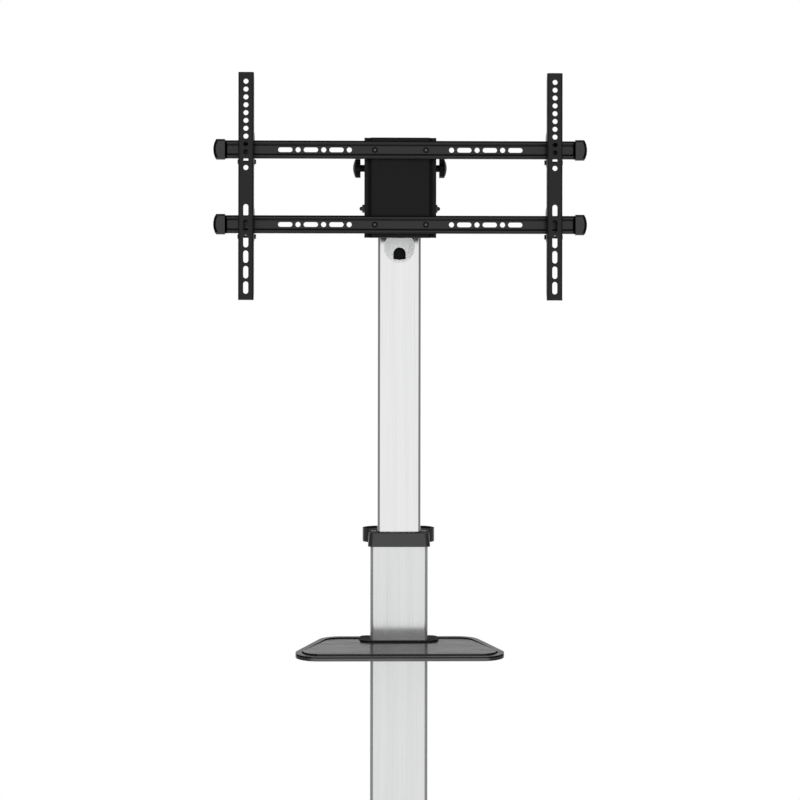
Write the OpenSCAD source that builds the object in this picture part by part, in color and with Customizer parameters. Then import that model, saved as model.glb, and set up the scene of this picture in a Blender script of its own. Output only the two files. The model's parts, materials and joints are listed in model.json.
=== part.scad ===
// Mobile television stand: a telescoping aluminium column on a steel base with
// four casters, a sliding shelf, and a head that tilts, turns to portrait and
// takes screens by two slotted arms. Front is -Y, up is +Z, lengths are in mm.
// The origin is on the floor, in the middle of the base.

/* [Heights] */
// Height of the axis that the head turns about
mount_z = 1590; // [1560:5:1640]
// Height of the collar's top face
collar_top_z = 902; // [880:2:930]
// Distance from the collar's top down to the shelf's rim
shelf_drop = 218; // [190:1:260]

/* [Upper column] */
// Width of the upper tube
upper_w = 87; // [80:1:90]
// Depth of the upper tube
upper_d = 60; // [56:1:62]
// Wall of the upper tube
upper_wall = 2.5; // [2:0.5:3]
// Radius of the upper tube's outer corners
upper_corner_r = 7; // [5:0.5:9]
// Length of the upper tube below the collar's top
upper_overlap = 246; // [200:2:250]
// How far the upper tube reaches above the turning axis
upper_over_mount = 86; // [80:1:88]

/* [Lower column] */
// Distance from a side of the upper tube to the lower tube's side
tube_step_w = 14.5; // [14:0.5:16]
// Distance from the upper tube's front to the lower tube's front
tube_step_d = 12; // [12:0.5:14]
// Wall of the lower tube
lower_wall = 3; // [2.5:0.5:3]
// Radius of the lower tube's outer corners
lower_corner_r = 9; // [7:0.5:12]
// Radius of the screws that run in the channels
channel_screw_r = 3; // [2.5:0.5:3]
// Height of the plastic guides between the tubes
guide_h = 42; // [36:1:50]

/* [Collar] */
// Height of the collar
collar_h = 27; // [24:1:30]
// Wall of the collar at its top edge
collar_wall = 2.5; // [2.5:0.1:4]
// How far each side of the collar flares out towards its bottom edge
collar_flare = 2.25; // [2:0.05:3]
// Thickness of the collar's top
collar_top_t = 7; // [5:0.5:9]
// Outer width of the cable ring behind the column
ring_w = 148; // [142:1:154]
// How far the cable ring reaches behind the column's axis
ring_back = 86; // [78:1:92]
// Wall of the cable ring
ring_wall = 5; // [4:0.5:6]

/* [Height lock] */
// Radius of the height lock's knob
lock_knob_r = 24; // [20:1:28]
// Thickness of the height lock's knob
lock_knob_t = 20; // [16:1:24]
// Distance from the collar down to the lock's screw
lock_drop = 34; // [32:1:45]

/* [Cable outlets] */
// Radius of the round grommet on the upper tube
grommet_r = 31; // [28:0.5:33]
// Distance from the turning axis down to the grommet's centre
grommet_drop = 113; // [110:1:130]
// Width of the cable notch in the grommet
notch_w = 25; // [20:1:28]
// Height of the cable notch in the grommet
notch_h = 24; // [20:1:24]
// Width of the oval outlet at the back of the lower tube
outlet_w = 56; // [48:1:60]
// Height of the oval outlet
outlet_h = 26; // [22:1:30]
// Height of the oval outlet's centre above the lower tube's foot
outlet_rise = 70; // [62:1:73]

/* [Shelf] */
// Depth of the shelf
shelf_d = 212; // [196:2:236]
// How far the shelf's back edge lies behind the column's front face
shelf_wrap = 60; // [56:1:64]
// Width of the shelf's front corners, edge to edge if they were sharp
shelf_front_w = 441; // [410:1:450]
// Width of the shelf's back corners, edge to edge if they were sharp
shelf_back_w = 303; // [290:1:320]
// Radius of the shelf's front corners
shelf_front_r = 46; // [36:1:50]
// Radius of the shelf's back corners
shelf_back_r = 44; // [36:1:50]
// Height of the shelf's edge
shelf_h = 9; // [8.5:0.5:12]
// How far the shelf's panel slopes down to the back, in degrees
shelf_tilt = 1.5; // [0.5:0.1:2]
// Width of the raised rim
shelf_rim = 12; // [10:0.5:15]
// Width of the clamp's ear beside the column
clamp_ear = 21; // [20:1:27]

/* [Screen arms] */
// Distance between the arms' hole rows
vesa_w = 600; // [520:10:600]
// Distance between the top hole and the lowest slot
vesa_h = 400; // [400:10:420]
// Width of an arm
arm_w = 30; // [28:1:34]
// Depth of an arm's channel
arm_d = 16; // [14:1:20]
// Thickness of an arm's steel
arm_t = 2.5; // [2:0.5:3]
// Distance from the top hole to the arm's top end
arm_top_margin = 18; // [14:1:24]
// Distance from the lowest slot's centre to the arm's bottom end
arm_bottom_margin = 24; // [18:1:30]
// Radius of the arm's round holes
arm_hole_r = 4.9; // [4.2:0.1:5]
// Distance between the arm's round holes
arm_hole_pitch = 15.2; // [14:0.1:16]
// Number of round holes in an arm
arm_hole_count = 12; // [8:1:12]
// Distance between the arm's slots
arm_slot_pitch = 30; // [30:1:30]
// Length of an arm's slot
arm_slot_len = 24; // [20:0.5:25]
// Number of slots in an arm
arm_slot_count = 6; // [4:1:6]

/* [Rails] */
// Distance between the two rails' centre lines
rail_gap = 146; // [140:1:150]
// Distance from an arm's hole row to the rail's end
rail_over = 57; // [46:1:65]
// Height of a rail
rail_h = 35; // [34:1:38]
// Depth of a rail
rail_d = 14; // [12:0.5:16]
// Thickness of a rail's steel
rail_t = 2; // [1.5:0.5:2.5]
// Height of the raised band along a rail
rail_band = 15; // [14:0.5:16]
// Radius of the rail's round holes
rail_hole_r = 4.95; // [4:0.05:5.2]
// Length of a rail's slot
rail_slot_len = 28; // [24:1:30]
// Distance between neighbouring round holes of a rail
rail_hole_pitch = 50; // [48:1:52]
// Length of an end cap outside the rail's end
cap_end = 8; // [7:0.5:10]
// Length of an end cap over the rail
cap_sleeve = 15; // [12:1:18]

/* [Head] */
// Width of the strips beside the head plate's raised panel
strip_w = 11.5; // [10:0.5:14]
// Height of the head plate
plate_h = 196; // [190:1:200]
// Width of the head plate's raised panel
panel_w = 118; // [114:1:120]
// Thickness of the head plate's steel
plate_t = 2.5; // [2:0.5:3]
// Radius of the spindle that the head turns on
spindle_r = 10; // [8:0.5:12]

/* [Tilt] */
// Distance from the turning axis down to the tilt pivot
pivot_drop = 37.5; // [34:0.5:40]
// Distance from the turning axis up to the tilt knobs
knob_rise = 43; // [40:0.5:46]
// Distance from the column's front face to the tilt pivot
pivot_reach = 38; // [36:0.5:40]
// Radius of a tilt knob
knob_r = 19; // [16:0.5:20]
// Thickness of a tilt knob
knob_t = 15; // [12:0.5:18]
// Length of a tilt knob's neck
knob_neck = 12.7; // [11:0.1:16]
// Depth of the bracket that carries the tilting frame
bracket_d = 66; // [66:1:70]
// Angle that the head leans back
tilt_back = 5; // [3:1:6]
// Angle that the head leans forward
tilt_forward = 12; // [8:1:12]

/* [Base] */
// Distance between the two legs' centre lines
leg_gap = 680; // [600:10:720]
// Length of a leg along its chord
leg_len = 640; // [600:10:680]
// Width of a leg
leg_w = 60; // [56:1:64]
// Height of a leg's tube
leg_h = 32; // [28:1:36]
// How far a leg bows up in its middle
leg_rise = 16; // [12:1:24]
// Wall of the legs and the beam
leg_wall = 2.5; // [2:0.5:3]
// Depth of the cross beam
beam_d = 130; // [126:1:150]
// Height of the cross beam
beam_h = 30; // [26:1:30]

/* [Casters] */
// Diameter of a caster's wheel
wheel_dia = 75; // [70:1:76]
// Width of a caster's wheel
wheel_w = 24; // [20:1:28]
// Distance from a caster's swivel axis to its wheel's axle
trail = 28; // [24:1:32]
// Distance from a leg's end to its caster's swivel axis
caster_inset = 40; // [36:1:60]
// Radius of a wheel's axle
axle_r = 5; // [4:0.5:6]

/* [Hidden] */
$fn = 64;

// Shared clearances and the overrun of cuts
gap = 0.3;
running = 0.06;
snug = 0.05;
slide_gap = 0.4;
cut = 1;

// Both tubes
lower_w = upper_w + 2 * tube_step_w;
lower_d = upper_d + 2 * tube_step_d;
lower_front = lower_d / 2;
upper_front = upper_d / 2;
upper_top_z = mount_z + upper_over_mount;
upper_bottom_z = collar_top_z - upper_overlap;
upper_len = upper_top_z - upper_bottom_z;
upper_channel_r = 4;
upper_channel_bore = 2;
channel_sink = 1;
slide_room = 2.1;
channel_r = (tube_step_w - lower_wall - slide_room + channel_sink) / 2;
channel_x = lower_w / 2 - lower_wall - channel_r + channel_sink;
channel_y = lower_d / 2 - lower_wall - channel_r + channel_sink;
channel_places = [
    [channel_x, channel_y], [-channel_x, channel_y], [channel_x, -channel_y],
    [-channel_x, -channel_y], [channel_x, 0], [-channel_x, 0]
];
bolt_r = 4;
bolt_head_r = 7;
bolt_head_h = 5;

// Base
foot_margin_w = 19;
foot_margin_d = 10;
plate_foot_t = 8;
plate_foot_r = 14;
leg_corner_r = 5;
beam_corner_r = 4;
beam_inset = 1;
caster_room = 22;
caster_h = wheel_dia + caster_room;
beam_z = caster_h + leg_rise + beam_inset;
foot_z = beam_z + beam_h;
column_z = foot_z + plate_foot_t;
foot_bolt_bite = 30;
foot_bolt_head_r = 6;
foot_bolt_head_h = 4;
cover_h = 30;
cover_margin = 7;
cover_flare = 16;
cover_top_w = lower_w + 2 * cover_margin;
cover_top_d = lower_d + 2 * cover_margin;
cover_foot_w = cover_top_w + 2 * cover_flare;
cover_foot_d = cover_top_d + 2 * cover_flare;
plate_foot_w = cover_foot_w + 2 * foot_margin_w;
plate_foot_d = cover_foot_d + 2 * foot_margin_d;
cover_corner_r = 16;
cover_wall = 3;
leg_arc_r = (pow(leg_len / 2, 2) + pow(leg_rise, 2)) / (2 * leg_rise);
leg_half_angle = asin(leg_len / 2 / leg_arc_r);
leg_arc_fn = 1080;
leg_plug = 14;
caster_gap = leg_len - 2 * caster_inset;
leg_cap_t = 5;

// Collar, guides and height lock
collar_top_w = lower_w + 2 * collar_wall;
collar_bottom_w = collar_top_w + 2 * collar_flare;
collar_d = lower_d + 2 * collar_wall + 2 * gap;
collar_corner_r = 12;
guide_flange = 2;
tube_top_z = collar_top_z - collar_top_t - guide_flange;
lock_z = collar_top_z - collar_h - lock_drop;
lock_block = 34;
lock_block_t = 10;
lock_block_r = 6;
lock_neck = 6;
lock_neck_r = 9;
lock_flute_r = 7;
lock_lobes = 6;
collar_screw_head_r = 5;
collar_screw_head_h = 3;
collar_screw_bite = 20;
ring_start = 20;
ring_round = 32;
ring_corner_r = min(ring_round, (ring_back - ring_start) / 2);

// Grommets
grommet_flange = 2.5;
grommet_rim = 5;
grommet_ring = 4;
grommet_inner = 9.5;
grommet_notch_r = 1.2;
grommet_plug_r = grommet_r - grommet_rim;
grommet_plug = 9;
grommet_step = 0.8;
grommet_z = mount_z - grommet_drop;
outlet_flange = 5;
outlet_z = column_z + outlet_rise;

// Shelf
shelf_top_z = collar_top_z - shelf_drop;
shelf_reach = shelf_d - shelf_wrap;
shelf_front_y = -(lower_front + shelf_reach);
shelf_back_y = shelf_front_y + shelf_d;
shelf_wall = 3;
shelf_panel_drop = 2;
shelf_groove = 3;
shelf_groove_drop = 1.6;
shelf_moat = 1.5;
shelf_edge_t = 1.2;
shelf_edge_groove = 2;
shelf_edge_groove_d = 3;
clamp_w = lower_w + 2 * clamp_ear;
clamp_h = 36;
clamp_front = 4;
clamp_back = 16;
clamp_front_r = 24;
clamp_back_r = 13;
clamp_proud = 2.5;
clamp_back_drop = 8;
clamp_split_y = 6;
clamp_screw_r = 3;
clamp_screw_gap = 10;
clamp_screw_x = lower_w / 2 + clamp_screw_gap;
clamp_screw_bite = 22;
clamp_slit = 1.5;
clamp_z = shelf_top_z + clamp_proud - clamp_h;
support_w = 250;
support_share = 0.28;
support_t = 3;
gusset_t = 4;
support_corner_r = 16;
shelf_screw_r = 2.5;
shelf_screw_bite = 5;
shelf_screw_x = 74;
shelf_screw_shares = [0.43, 0.85];
shelf_run = shelf_reach - clamp_front;

// Head, from the column's axis forwards
panel_step = 5;
plate_depth = 15;
plate_clear = 2;
tilt_t = 3;
bracket_room = 14;
head_reach = bracket_d + bracket_room + tilt_t + plate_clear + plate_depth;
panel_y = -(upper_front + head_reach);
plate_w = panel_w + 2 * strip_w;
spindle_flange_r = 26;
spindle_flange_t = 3;
disc_room = 9;
disc_r = panel_w / 2 - disc_room;
disc_t = 3;
boss_step = 4;
boss_r = disc_r - boss_step;
washer_t = 2;
nut_t = 10;
nut_r = 17;
washer_rim = 3;
spindle_spare = 2;
disc_y = panel_y + plate_t + spindle_flange_t + gap;
tilt_front_y = panel_y + plate_depth + plate_clear;
nut_y = tilt_front_y + tilt_t + gap;
pivot_y = -(upper_front + pivot_reach);
pivot_z = mount_z - pivot_drop;
knob_z = mount_z + knob_rise;
pivot_arm = pivot_drop + knob_rise;
bracket_w = 124;
bracket_t = 4;
bracket_low = 60;
bracket_high = 62;
bracket_h = bracket_low + bracket_high;
bracket_corner_r = 8;
tilt_gap = 0.4;
tilt_w = bracket_w + 2 * tilt_gap + 2 * tilt_t;
tilt_room = 20;
tilt_d = -upper_front - tilt_room - tilt_front_y;
tilt_low = 56;
tilt_corner_r = 14;
pivot_r = 5;
pivot_nut_r = 8;
pivot_nut_t = 7.2;
pivot_washer_r = 9;
pivot_tip = 5.5;
pivot_tip_r = 4.2;
stud_r = 4;
stud_play = 0.6;
slot_half = stud_r + stud_play;
slot_spare = 1;
neck_r = 7;
tilt_nut_w = 14;
tilt_nut_t = 6;
stud_spare = 1;
flute_r = 3;
flute_count = 9;
bracket_bolt_x = 25;
bracket_bolt_z = 42;

// Rails and arms
rail_len = vesa_w + 2 * rail_over;
rail_z = rail_gap / 2;
rail_front_y = panel_y - rail_d;
rail_bead_gap = 1.5;
rail_bead = (rail_h - rail_band) / 2 - rail_bead_gap;
rail_bead_d = 3.5;
rail_crest = 2;
rail_step = 3;
rail_corner_r = 2.5;
cap_wall = 2.5;
cap_h = rail_h + 2 * cap_wall;
cap_d = rail_d + 2 * cap_wall;
cap_corner_r = 6;
cap_bulge = 5.6;
cap_sphere_r = (pow(cap_h / 2, 2) + pow(cap_bulge, 2)) / (2 * cap_bulge);
rail_screw_inset = 9;
rail_screw_x = panel_w / 2 - rail_screw_inset;
rail_screw_r = 3;
rail_screw_head_r = 5.5;
rail_screw_head_h = 2.4;
rail_nut_h = 4;
arm_front_y = rail_front_y - gap - arm_d;
arm_len = vesa_h + arm_top_margin + arm_bottom_margin;
arm_top_z = arm_len / 2;
arm_hole_z = arm_top_z - arm_top_margin;
arm_slot_z = arm_hole_z - vesa_h;
arm_bend_r = 4;
arm_end_taper = 14;
ear_h = 12;
ear_hook = 3;
ear_lip = 5;
ear_depth = arm_d + 2 * gap + rail_d + ear_hook;
arm_bolt_r = 2.5;
arm_bolt_head_r = 4.5;
arm_bolt_head_h = 3;

// Casters
wheel_r = wheel_dia / 2;
fork_t = 3;
fork_side_gap = 1;
fork_plate_t = 4;
king_r = 6;
king_head_r = 10;
king_head_h = 3.5;
top_plate_r = 26;
top_plate_t = 4;
race_r = 21;
race_h = 5.6;
fork_top_z = caster_h - top_plate_t - race_h - gap;
fork_half_w = wheel_w / 2 + fork_side_gap;
fork_back = 18;
fork_shoulder = 17;
fork_foot = 10.5;
fork_foot_r = 9.5;
fork_bridge = 19;
fork_nose = 8;
tread_t = 6;
tread_r = 5;
hub_wall = 7;
rib_bite = 1;
stem_r = 5;
stem_h = 14;
boss_h = 9;
axle_head_r = 8;
axle_head_t = 3;
king_z = fork_top_z - fork_plate_t - gap - king_head_h;
brake_pin_r = 2.5;
brake_barrel_r = 4.5;
brake_lead = 4;
brake_drop = 5;
brake_y = trail + brake_lead;
brake_z = fork_top_z - brake_drop;
brake_reach = 44;
brake_t = 4;
brake_nose_shares = [0.25, 1.25];
pad_w = 36;
pad_gap = 2;

// Corner centres and outlines of rounded plates
function unit(v) = v / norm(v);
function left_of(v) = [-v[1], v[0]];
function way_in(pts, i) = unit(pts[i] - pts[(i + len(pts) - 1) % len(pts)]);
function way_out(pts, i) = unit(pts[(i + 1) % len(pts)] - pts[i]);
function half_turn_tan(a, b) = (a[0] * b[1] - a[1] * b[0]) / (1 + a * b);
function corner_centre(pts, radii, i) =
    pts[i] - radii[i] * half_turn_tan(way_in(pts, i), way_out(pts, i)) * way_in(pts, i)
    + radii[i] * left_of(way_in(pts, i));

// A convex outline with true round corners, given anticlockwise and drawn in by inset
module rounded_outline(pts, radii, inset = 0) {
    polygon([
        for (i = [0 : len(pts) - 1])
        for (way = [way_in(pts, i), way_out(pts, i)])
        corner_centre(pts, radii, i) - (radii[i] - inset) * left_of(way)
    ]);
    for (i = [0 : len(pts) - 1]) {
        if (radii[i] > inset) {
            translate(corner_centre(pts, radii, i)) circle(r = radii[i] - inset);
        }
    }
}

module rounded_rect(w, d, r) {
    rounded_outline([[-w / 2, -d / 2], [w / 2, -d / 2], [w / 2, d / 2], [-w / 2, d / 2]], [r, r, r, r]);
}

// A folded channel's section: closed along y = 0 and open at y = d
module channel_section(w, d, t, r) {
    difference() {
        rounded_outline([[-w / 2, 0], [w / 2, 0], [w / 2, d], [-w / 2, d]], [r, r, 0, 0]);
        rounded_outline(
            [[t - w / 2, t], [w / 2 - t, t], [w / 2 - t, d + cut], [t - w / 2, d + cut]],
            [r - t, r - t, 0, 0]);
    }
}

module slot_outline(len, half) {
    for (end = [-1, 1]) translate([end * (len / 2 - half), 0]) circle(r = half);
    square([len - 2 * half, 2 * half], center = true);
}

// Turns an outline drawn in (x, z) or (y, z) into a solid along Y or X
module along_y(depth) { rotate([90, 0, 0]) translate([0, 0, -depth]) linear_extrude(depth) children(); }
module along_x(width) { rotate([90, 0, 90]) translate([0, 0, -width / 2]) linear_extrude(width) children(); }

module tube_z(z, h) { translate([0, 0, z]) linear_extrude(h) children(); }
module rod_x(r, x0, x1) { translate([x0, 0, 0]) rotate([0, 90, 0]) cylinder(r = r, h = x1 - x0); }
module rod_y(r, y0, y1) { translate([0, y0, 0]) rotate([-90, 0, 0]) cylinder(r = r, h = y1 - y0); }

// Both columns and what runs between them

module lower_bore(inset) {
    difference() {
        rounded_rect(
            lower_w - 2 * (lower_wall + inset), lower_d - 2 * (lower_wall + inset),
            lower_corner_r - lower_wall);
        for (p = channel_places) translate(p) circle(r = channel_r + inset);
    }
}

module lower_column() {
    color("gainsboro")
    difference() {
        tube_z(column_z, tube_top_z - column_z)
            difference() {
                rounded_rect(lower_w, lower_d, lower_corner_r);
                lower_bore(0);
                for (p = channel_places) translate(p) circle(r = channel_screw_r + snug);
            }
        translate([0, lower_front - lower_wall - cut, outlet_z])
            along_y(lower_wall + 2 * cut) slot_outline(outlet_w, outlet_h / 2);
        translate([0, 0, lock_z]) rod_y(bolt_r + 2 * gap, lower_front - lower_wall - cut, lower_front + cut);
    }
}

module upper_column() {
    x = upper_w / 2 - upper_wall - upper_channel_r + channel_sink;
    y = upper_d / 2 - upper_wall - upper_channel_r + channel_sink;
    color("gainsboro")
    difference() {
        tube_z(upper_bottom_z, upper_len) {
            difference() {
                rounded_rect(upper_w, upper_d, upper_corner_r);
                rounded_rect(upper_w - 2 * upper_wall, upper_d - 2 * upper_wall, upper_corner_r - upper_wall);
            }
            for (sx = [-1, 1], sy = [-1, 1]) translate([sx * x, sy * y])
                difference() {
                    circle(r = upper_channel_r);
                    circle(r = upper_channel_bore);
                }
        }
        translate([0, 0, grommet_z])
            rod_y(grommet_plug_r + snug, -upper_front - cut, -upper_front + upper_wall + cut);
        bracket_bolt_places() rod_y(bolt_r + gap, -upper_front - cut, -upper_front + upper_wall + cut);
    }
}

// Fixed in the top of the lower tube, round the upper one
module top_guide() {
    color("dimgray")
    difference() {
        union() {
            tube_z(tube_top_z - guide_h, guide_h) lower_bore(snug);
            tube_z(tube_top_z, guide_flange)
                rounded_rect(lower_w, lower_d, lower_corner_r);
        }
        tube_z(tube_top_z - guide_h - cut, guide_h + guide_flange + 2 * cut)
            rounded_rect(upper_w + 2 * slide_gap, upper_d + 2 * slide_gap, upper_corner_r + slide_gap);
        for (side = [-1, 1]) translate([side * channel_x, 0, tube_top_z - guide_h - cut])
            cylinder(r = channel_screw_r + snug, h = guide_h + guide_flange + 2 * cut);
    }
}

// A shoe on the foot of the upper tube that runs inside the lower one
module bottom_guide() {
    lip = 3;
    color("dimgray")
    difference() {
        tube_z(upper_bottom_z - lip, guide_h + lip) lower_bore(slide_gap);
        tube_z(upper_bottom_z, guide_h + cut)
            rounded_rect(upper_w + 2 * snug, upper_d + 2 * snug, upper_corner_r + snug);
        tube_z(upper_bottom_z - lip - cut, lip + 2 * cut)
            rounded_rect(upper_w - 4 * upper_wall, upper_d - 4 * upper_wall, upper_corner_r);
    }
}

module column_cap() {
    lid_t = 4;
    plug_h = 12;
    color("black") {
        tube_z(upper_top_z, lid_t) rounded_rect(upper_w, upper_d, upper_corner_r);
        tube_z(upper_top_z - plug_h, plug_h)
            difference() {
                rounded_rect(
                    upper_w - 2 * (upper_wall + snug + upper_channel_r),
                    upper_d - 2 * (upper_wall + snug),
                    upper_corner_r - upper_wall);
                rounded_rect(
                    upper_w - 4 * upper_wall - 2 * upper_channel_r, upper_d - 4 * upper_wall,
                    upper_corner_r - upper_wall);
                for (sx = [-1, 1], sy = [-1, 1])
                    translate([
                        sx * (upper_w / 2 - upper_wall - upper_channel_r + channel_sink),
                        sy * (upper_d / 2 - upper_wall - upper_channel_r + channel_sink)
                    ]) circle(r = upper_channel_r + snug);
            }
    }
}

// The collar's tapered body and the open cable ring behind it
module collar() {
    z = collar_top_z - collar_h;
    rim = 1;
    color("dimgray")
    difference() {
        union() {
            hull() {
                tube_z(z, rim)
                    rounded_rect(
                        collar_bottom_w, collar_d + collar_bottom_w - collar_top_w,
                        collar_corner_r, $fn = 32);
                tube_z(collar_top_z - rim, rim)
                    rounded_rect(collar_top_w, collar_d, collar_corner_r, $fn = 32);
            }
            translate([0, (ring_back + ring_start) / 2, z]) linear_extrude(collar_h)
                difference() {
                    rounded_rect(ring_w, ring_back - ring_start, ring_corner_r);
                    rounded_rect(
                        ring_w - 2 * ring_wall, ring_back - ring_start - 2 * ring_wall,
                        ring_corner_r - ring_wall);
                }
        }
        tube_z(z - cut, collar_h - collar_top_t + cut)
            rounded_rect(lower_w + gap, lower_d + gap, lower_corner_r + gap);
        tube_z(z, collar_h + cut)
            rounded_rect(upper_w + 4 * slide_gap, upper_d + 4 * slide_gap, upper_corner_r + slide_gap);
        for (side = [-1, 1]) translate([side * channel_x, 0, z]) {
            cylinder(r = channel_screw_r + snug, h = collar_h + cut);
            translate([0, 0, collar_h - collar_screw_head_h - snug])
                cylinder(r = collar_screw_head_r + gap, h = collar_screw_head_h + cut);
        }
    }
}

module collar_screws() {
    head_z = collar_top_z - collar_screw_head_h;
    color("black")
    for (side = [-1, 1]) translate([side * channel_x, 0, 0])
        difference() {
            union() {
                translate([0, 0, tube_top_z - collar_screw_bite])
                    cylinder(r = channel_screw_r, h = head_z - tube_top_z + collar_screw_bite);
                translate([0, 0, head_z - snug])
                    cylinder(r = collar_screw_head_r, h = collar_screw_head_h - snug);
            }
            translate([0, 0, head_z + cut])
                cylinder(r = channel_screw_r - cut, h = collar_screw_head_h, $fn = 6);
        }
}

// Height lock: a nut block on the back of the lower tube and a knob with a stud
module lock_nut() {
    color("black")
    translate([0, 0, lock_z])
    difference() {
        translate([0, lower_front, 0]) along_y(lock_block_t)
            rounded_rect(lock_block, lock_block, lock_block_r);
        rod_y(bolt_r + running, lower_front - cut, lower_front + lock_block_t + cut);
    }
}

// A knob on a neck and a stud, turned about Z, with a domed face and flutes round its rim
module fluted_knob(r, t, neck, neck_len, stud, stud_len, flute, flutes) {
    dome_r = 2 * r;
    difference() {
        rotate_extrude() {
            square([stud, stud_len]);
            translate([0, stud_len - neck_len]) square([neck, neck_len]);
            translate([0, stud_len]) intersection() {
                square([r, t]);
                translate([0, t - dome_r]) circle(r = dome_r);
            }
        }
        for (i = [0 : flutes - 1]) rotate([0, 0, i * 360 / flutes])
            translate([r + flute / 2, 0, stud_len - cut]) cylinder(r = flute, h = t + 2 * cut);
    }
}

module lock_knob() {
    neck_y = lower_front + lock_block_t + gap;
    tip_y = upper_front + gap;
    color("black")
    translate([0, tip_y, lock_z]) rotate([-90, 0, 0])
        fluted_knob(
            lock_knob_r, lock_knob_t, lock_neck_r, lock_neck,
            bolt_r, neck_y + lock_neck - tip_y, lock_flute_r, lock_lobes);
}

module cable_grommet() {
    notch_r = notch_w / 2;
    face_y = -upper_front - grommet_flange;
    color("silver")
    translate([0, 0, grommet_z])
    difference() {
        union() {
            rod_y(grommet_r, face_y, -upper_front);
            rod_y(grommet_plug_r, -upper_front, -upper_front + grommet_plug);
        }
        rod_y(grommet_r - grommet_ring, face_y - cut, face_y + grommet_step);
        rod_y(grommet_r - grommet_inner, face_y - cut, face_y + 2 * grommet_step);
        translate([0, face_y - cut, -notch_r])
            along_y(grommet_flange + grommet_plug + 2 * cut)
                rounded_outline(
                    [
                        [-notch_r, notch_r - notch_h], [notch_r, notch_r - notch_h],
                        [notch_r, notch_r], [-notch_r, notch_r]
                    ],
                    [grommet_notch_r, grommet_notch_r, notch_r, notch_r]);
        rod_y(grommet_plug_r - upper_wall, -upper_front + upper_wall, -upper_front + grommet_plug + cut);
    }
}

module rear_grommet() {
    color("black")
    translate([0, lower_front, outlet_z])
    difference() {
        union() {
            along_y(grommet_flange) slot_outline(outlet_w + 2 * outlet_flange, outlet_h / 2 + outlet_flange);
            translate([0, -grommet_plug, 0])
                along_y(grommet_plug) slot_outline(outlet_w - 2 * snug, outlet_h / 2 - snug);
        }
        translate([0, -grommet_plug - cut, 0]) along_y(grommet_flange + grommet_plug + 2 * cut)
            slot_outline(outlet_w - 2 * upper_wall, outlet_h / 2 - upper_wall);
    }
}

// Base

module base_beam() {
    length = leg_gap - leg_w;
    color("black")
    difference() {
        translate([0, 0, beam_z + beam_h / 2]) along_x(length)
            difference() {
                rounded_rect(beam_d, beam_h, beam_corner_r);
                rounded_rect(beam_d - 2 * leg_wall, beam_h - 2 * leg_wall, beam_corner_r - leg_wall);
            }
        foot_bolt_places() translate([0, 0, beam_z - cut])
            cylinder(r = channel_screw_r + snug, h = beam_h + 2 * cut);
    }
}

module foot_bolt_places() {
    for (i = [0 : 3]) translate(channel_places[i]) children();
}

module leg_arc(inset) {
    translate([0, 0, caster_h + leg_rise - leg_arc_r]) rotate([0, -90, 0]) rotate([0, 0, -leg_half_angle])
        rotate_extrude(angle = 2 * leg_half_angle, $fn = leg_arc_fn)
            translate([leg_arc_r + leg_h / 2, 0])
                rounded_rect(leg_h - 2 * inset, leg_w - 2 * inset, leg_corner_r - inset);
}

// A bowed rectangular tube with a threaded boss for each caster
module leg(side) {
    color("black")
    translate([side * leg_gap / 2, 0, 0])
    difference() {
        union() {
            difference() {
                leg_arc(0);
                leg_arc(leg_wall);
            }
            for (end = [-1, 1]) translate([0, end * caster_gap / 2, caster_h])
                cylinder(r = top_plate_r, h = boss_h);
        }
        for (end = [-1, 1]) translate([0, end * caster_gap / 2, caster_h - cut])
            cylinder(r = stem_r + snug, h = boss_h + 2 * cut);
    }
}

module leg_left() { leg(-1); }
module leg_right() { leg(1); }

module leg_end_caps() {
    color("black")
    for (side = [-1, 1], end = [-1, 1])
        translate([side * leg_gap / 2, 0, caster_h + leg_rise - leg_arc_r])
            rotate([-end * leg_half_angle, 0, 0]) translate([0, 0, leg_arc_r + leg_h / 2]) {
                rotate([0, 0, end * 90 - 90]) translate([0, leg_cap_t / 2, 0])
                    rotate([90, 0, 0]) linear_extrude(leg_cap_t, center = true)
                        rounded_rect(leg_w, leg_h, leg_corner_r);
                rotate([0, 0, end * 90 - 90]) translate([0, -leg_plug / 2, 0])
                    rotate([90, 0, 0]) linear_extrude(leg_plug, center = true)
                        difference() {
                            rounded_rect(leg_w - 3 * leg_wall, leg_h - 3 * leg_wall, leg_corner_r - leg_wall);
                            rounded_rect(leg_w - 6 * leg_wall, leg_h - 6 * leg_wall, leg_corner_r - leg_wall);
                        }
            }
}

module foot_plate() {
    color("black")
    difference() {
        tube_z(foot_z, plate_foot_t) rounded_rect(plate_foot_w, plate_foot_d, plate_foot_r);
        foot_bolt_places() translate([0, 0, foot_z - cut])
            cylinder(r = channel_screw_r + snug, h = plate_foot_t + 2 * cut);
    }
}

module foot_bolts() {
    color("gray")
    foot_bolt_places() {
        translate([0, 0, beam_z]) cylinder(r = channel_screw_r, h = column_z - beam_z + foot_bolt_bite);
        difference() {
            translate([0, 0, beam_z - foot_bolt_head_h]) cylinder(r = foot_bolt_head_r, h = foot_bolt_head_h);
            translate([0, 0, beam_z - foot_bolt_head_h - cut])
                cylinder(r = channel_screw_r, h = foot_bolt_head_h, $fn = 6);
        }
    }
}

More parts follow.
